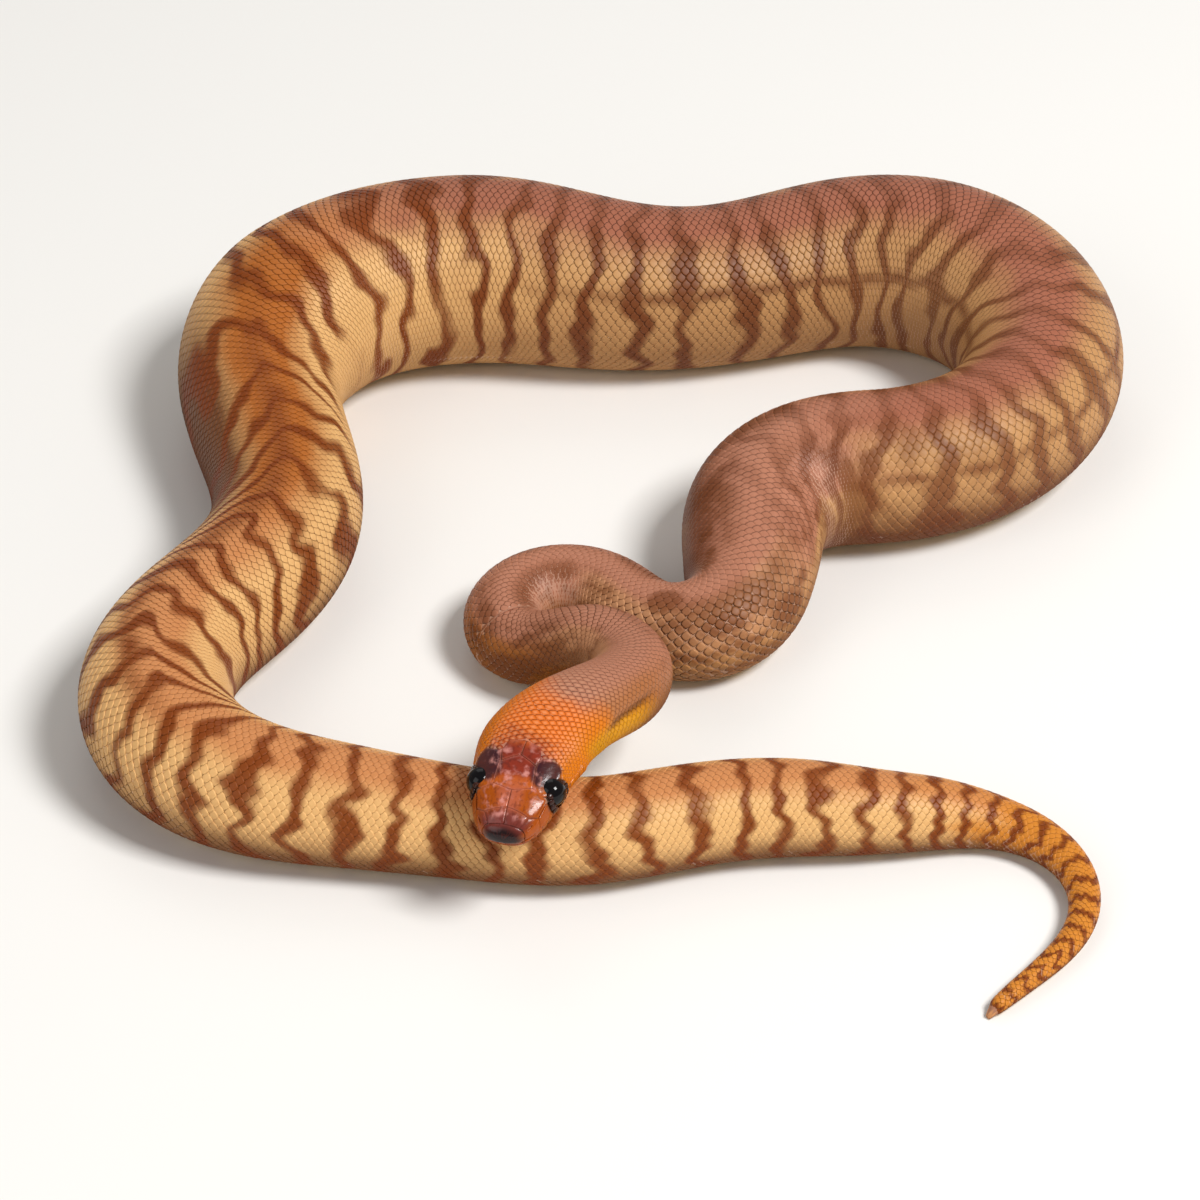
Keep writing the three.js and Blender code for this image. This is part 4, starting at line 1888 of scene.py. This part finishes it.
@dataclass(frozen=True)
class ScaleFinish:
    """The finish of the scales: the markings, with a paler middle and an edge of its own on each scale. The
    paler middle of the head's scales is partly a painted highlight, and the paler rims of the body's scales
    are partly painted light in the shaded gaps.
    """

    name: str = "scales"
    markings: Markings = Markings()
    head: Edges = (34.0, 20.0)
    middle: Edges = (0.75, 0.1)
    rim: Edges = (0.55, 1.05)
    head_edge: Tint = (178, 104, 66)
    head_edge_strength: float = 0.22
    # The body scales' rims are lightened: partly the pale skin between the scales, partly painted light in
    # the shaded gaps.
    edge: Tint = (140, 140, 140)
    edge_strength: float = 0.36
    # The head scales' paler middle: partly a painted highlight, kept to the top of the head.
    pale: Tint = (255, 206, 160)
    pale_strength: float = 0.24
    pale_sides: Edges = (28.0, 56.0)
    pale_loss: float = 0.95
    speck: Cloud = Cloud(2.3, 77.0, detail=0.0)
    speck_tint: Tint = (196, 140, 96)
    speck_strength: float = 0.2
    flanks: Edges = (58.0, 112.0)
    roughness: float = 0.44
    speck_roughness: float = 0.06
    flank_roughness: float = 0.3
    specular: float = 0.2

    def build(self) -> bpy.types.Material:
        """Builds the material.

        Returns:
            The material.
        """
        nodes = Nodes(self.name)
        colour = self.markings.colour(nodes)
        across, along = nodes.uv(FORM_MAP)
        spot = Spot.read(nodes)
        from_middle = abs(across) + abs(along)
        rim = from_middle.step(*self.rim)
        speck = self.speck.over(spot)
        on_head = spot.place.step(*self.head)
        colour = nodes.mix(rim * on_head * self.head_edge_strength, colour, self.head_edge, "MULTIPLY")
        # Partly painted light: the body scales' rims are lightened, which offsets the shade in the gaps.
        colour = nodes.mix(rim * (1 - on_head) * self.edge_strength, colour, self.edge, "DODGE")
        # Partly painted highlight: a paler middle on the head's scales, fading off down the sides.
        pale = from_middle.step(*self.middle) * on_head * self.pale_strength
        pale = pale * (1 - spot.side.step(*self.pale_sides) * on_head * self.pale_loss)
        colour = nodes.mix(pale, colour, self.pale)
        specks = (speck * 0.5 + 0.5) * self.speck_strength
        colour = nodes.mix(specks, colour, self.speck_tint, "MULTIPLY")
        low = spot.side.step(*self.flanks)
        rough = self.roughness + speck * self.speck_roughness + low * self.flank_roughness
        return nodes.principled(Base_Color=colour, Roughness=rough, Specular_IOR_Level=self.specular)


@dataclass(frozen=True)
class SkinFinish:
    """The finish of the skin between the scales: the same markings, paler and duller."""

    name: str = "skin_between_scales"
    markings: Markings = Markings()
    pale: Tint = (214, 168, 140)
    pale_strength: float = 0.3
    crease_scale: float = 2400.0
    crease_detail: float = 2.0
    crease_strength: float = 0.3
    roughness: float = 0.6

    def build(self) -> bpy.types.Material:
        """Builds the material.

        Returns:
            The material.
        """
        nodes = Nodes(self.name)
        colour = nodes.mix(self.pale_strength, self.markings.colour(nodes), self.pale)
        crease = nodes.fine_noise(self.crease_scale, self.crease_detail)
        normal = nodes.relief(crease, self.crease_strength)
        return nodes.principled(Base_Color=colour, Roughness=self.roughness, Normal=normal)


@dataclass(frozen=True)
class PlateFinish:
    """The glossy finish of the head's plates, a little paler along their edges: the pale skin of the sutures
    with a painted highlight.
    """

    name: str = "head_plates"
    markings: Markings = Markings()
    # Paler plate edges on top of the head: the pale sutures with a painted highlight.
    edge: Tint = (212, 128, 104)
    rim: Edges = (0.25, 0.9)
    crown: Area = Area(along=(1.6, 2.6, 13.5, 11.5), around=(60.0, 40.0), strength=0.24)
    grain_tint: Tint = (150, 84, 52)
    grain_scale: float = 1300.0
    grain_detail: float = 3.0
    grain_strength: float = 0.45
    grain_relief: float = 0.22
    roughness: float = 0.21
    grain_roughness: float = 0.08
    specular: float = 0.32

    def build(self) -> bpy.types.Material:
        """Builds the material.

        Returns:
            The material.
        """
        nodes = Nodes(self.name)
        colour = self.markings.colour(nodes)
        spot = Spot.read(nodes)
        rim, _ = nodes.uv(FORM_MAP)
        on_top = self.crown.over(spot.place, spot.side)
        # Partly painted highlight: the plates' edges on top of the head are made paler.
        colour = nodes.mix(rim.step(*self.rim) * on_top, colour, self.edge)
        grain = nodes.fine_noise(self.grain_scale, self.grain_detail)
        dark = (grain * 0.5 + 0.5) * self.grain_strength
        colour = nodes.mix(dark, colour, self.grain_tint, "MULTIPLY")
        normal = nodes.relief(grain, self.grain_relief)
        rough = self.roughness + grain * self.grain_roughness
        return nodes.principled(
            Base_Color=colour, Roughness=rough, Normal=normal, Specular_IOR_Level=self.specular
        )


@dataclass(frozen=True)
class EyeFinish:
    """The wet black of the eyes, with a faint brown iris."""

    name: str = "eye"
    black: Tint = (4, 3, 6)
    brown: Tint = (20, 10, 8)
    brown_edge: Edges = (0.3, 0.8)
    brown_strength: float = 0.4
    cloud_scale: float = 900.0
    cloud_detail: float = 3.0
    roughness: float = 0.1
    specular: float = 0.22
    wetness: float = 0.1
    wet_roughness: float = 0.03

    def build(self) -> bpy.types.Material:
        """Builds the material.

        Returns:
            The material.
        """
        nodes = Nodes(self.name)
        cloud = nodes.fine_noise(self.cloud_scale, self.cloud_detail) * 0.5 + 0.5
        colour = nodes.mix(cloud.step(*self.brown_edge) * self.brown_strength, self.black, self.brown)
        return nodes.principled(
            Base_Color=colour,
            Roughness=self.roughness,
            Specular_IOR_Level=self.specular,
            Coat_Weight=self.wetness,
            Coat_Roughness=self.wet_roughness,
        )


@dataclass(frozen=True)
class FloorFinish:
    """A plain pale floor."""

    name: str = "floor"
    pale: Tint = (238, 236, 232)
    roughness: float = 0.85

    def build(self) -> bpy.types.Material:
        """Builds the material."""
        nodes = Nodes(self.name)
        return nodes.principled(Base_Color=colour_of(self.pale), Roughness=self.roughness)


# ---------------------------------------------------------------- studio


class Light(Enum):
    """The studio's soft lights: where each hangs, the side of its square and its power in watts."""

    KEY = ((0.65, -0.38, 1.05), 0.4, 16.0)
    FILL = ((-0.9, -0.7, 0.8), 0.8, 3.0)
    RIM = ((-0.2, 1.0, 1.0), 0.8, 1.8)


@dataclass
class Studio:
    """The floor, the soft lights and the camera."""

    focus: tuple[float, float, float] = (-0.0044, 0.0013, 0.0)
    distance: float = 0.62
    elevation: float = 38.0
    lens: float = 120.0
    sensor: float = 36.0
    nearest: float = 0.01
    floor_size: float = 6.0
    sky: float = 0.3
    sky_colour: tuple[float, float, float, float] = (1.0, 0.98, 0.95, 1.0)

    def build_floor(self) -> None:
        """Lays the floor."""
        sheet = bmesh.new()
        bmesh.ops.create_grid(sheet, x_segments=4, y_segments=4, size=self.floor_size / 2)
        mesh = take_mesh(sheet, "floor")
        mesh.materials.append(FloorFinish().build())
        floor = bpy.data.objects.new("floor", mesh)
        bpy.context.scene.collection.objects.link(floor)

    def hang_light(self, light: Light) -> None:
        """Hangs a soft square light that faces the animal.

        Args:
            light: which light it is.
        """
        place, size, power = light.value
        lamp = bpy.data.lights.new(light.name.lower(), "AREA")
        lamp.shape = "SQUARE"
        lamp.size = size
        lamp.energy = power
        holder = bpy.data.objects.new(light.name.lower(), lamp)
        bpy.context.scene.collection.objects.link(holder)
        holder.location = place
        holder.rotation_euler = (-Vector(place)).to_track_quat("-Z", "Y").to_euler()

    def build_sky(self) -> None:
        """Lights the whole room softly."""
        world = bpy.data.worlds.new("studio")
        world.use_nodes = True
        background = world.node_tree.nodes["Background"]
        background.inputs["Color"].default_value = self.sky_colour
        background.inputs["Strength"].default_value = self.sky
        bpy.context.scene.world = world
        bpy.context.scene.view_settings.view_transform = "Standard"

    def build_camera(self) -> None:
        """Stands the camera up, so that it looks down at the focus."""
        camera = bpy.data.cameras.new("camera")
        camera.lens = self.lens
        camera.sensor_width = self.sensor
        camera.clip_start = self.nearest
        holder = bpy.data.objects.new("camera", camera)
        bpy.context.scene.collection.objects.link(holder)
        rise = math.radians(self.elevation)
        back = Vector((0, -math.cos(rise), math.sin(rise))) * self.distance
        holder.location = Vector(self.focus) + back
        holder.rotation_euler = (-back).to_track_quat("-Z", "Y").to_euler()
        bpy.context.scene.camera = holder

    def build(self) -> None:
        """Builds the floor, the lights, the sky and the camera."""
        self.build_floor()
        for light in Light:
            self.hang_light(light)
        self.build_sky()
        self.build_camera()


# ---------------------------------------------------------------- the animal


def main() -> None:
    """Builds the studio and the animal."""
    logging.basicConfig(level=logging.INFO, format="%(message)s")
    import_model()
    Studio().build()
    body = Body()
    mouth = Mouth()
    eye = Eye()
    body.relief = Face(body, mouth, eye).relief_at
    bands = Bands()
    plates = HeadPlates(body, mouth, bands)
    coat = Coat(body, mouth, eye, bands, plates.covers)
    skin = Skin(body, bands).build(SkinFinish().build())
    flesh = ["head", "lower_jaw", "neck", *(f"trunk_{i + 1}" for i in range(coat.trunk_lengths)), "tail"]
    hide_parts(*flesh)
    scales = ScaleFinish().build()
    coat.build(scales)
    coat.build_belly(scales)
    glossy = PlateFinish().build()
    plates.build(glossy)
    eyes = Eyes(body, eye, coat)
    wet = EyeFinish().build()
    for name in ("eye_left", "eye_right"):
        eyes.build_ball(name, wet)
    eyes.build_rings(glossy)


if __name__ == "__main__":
    main()
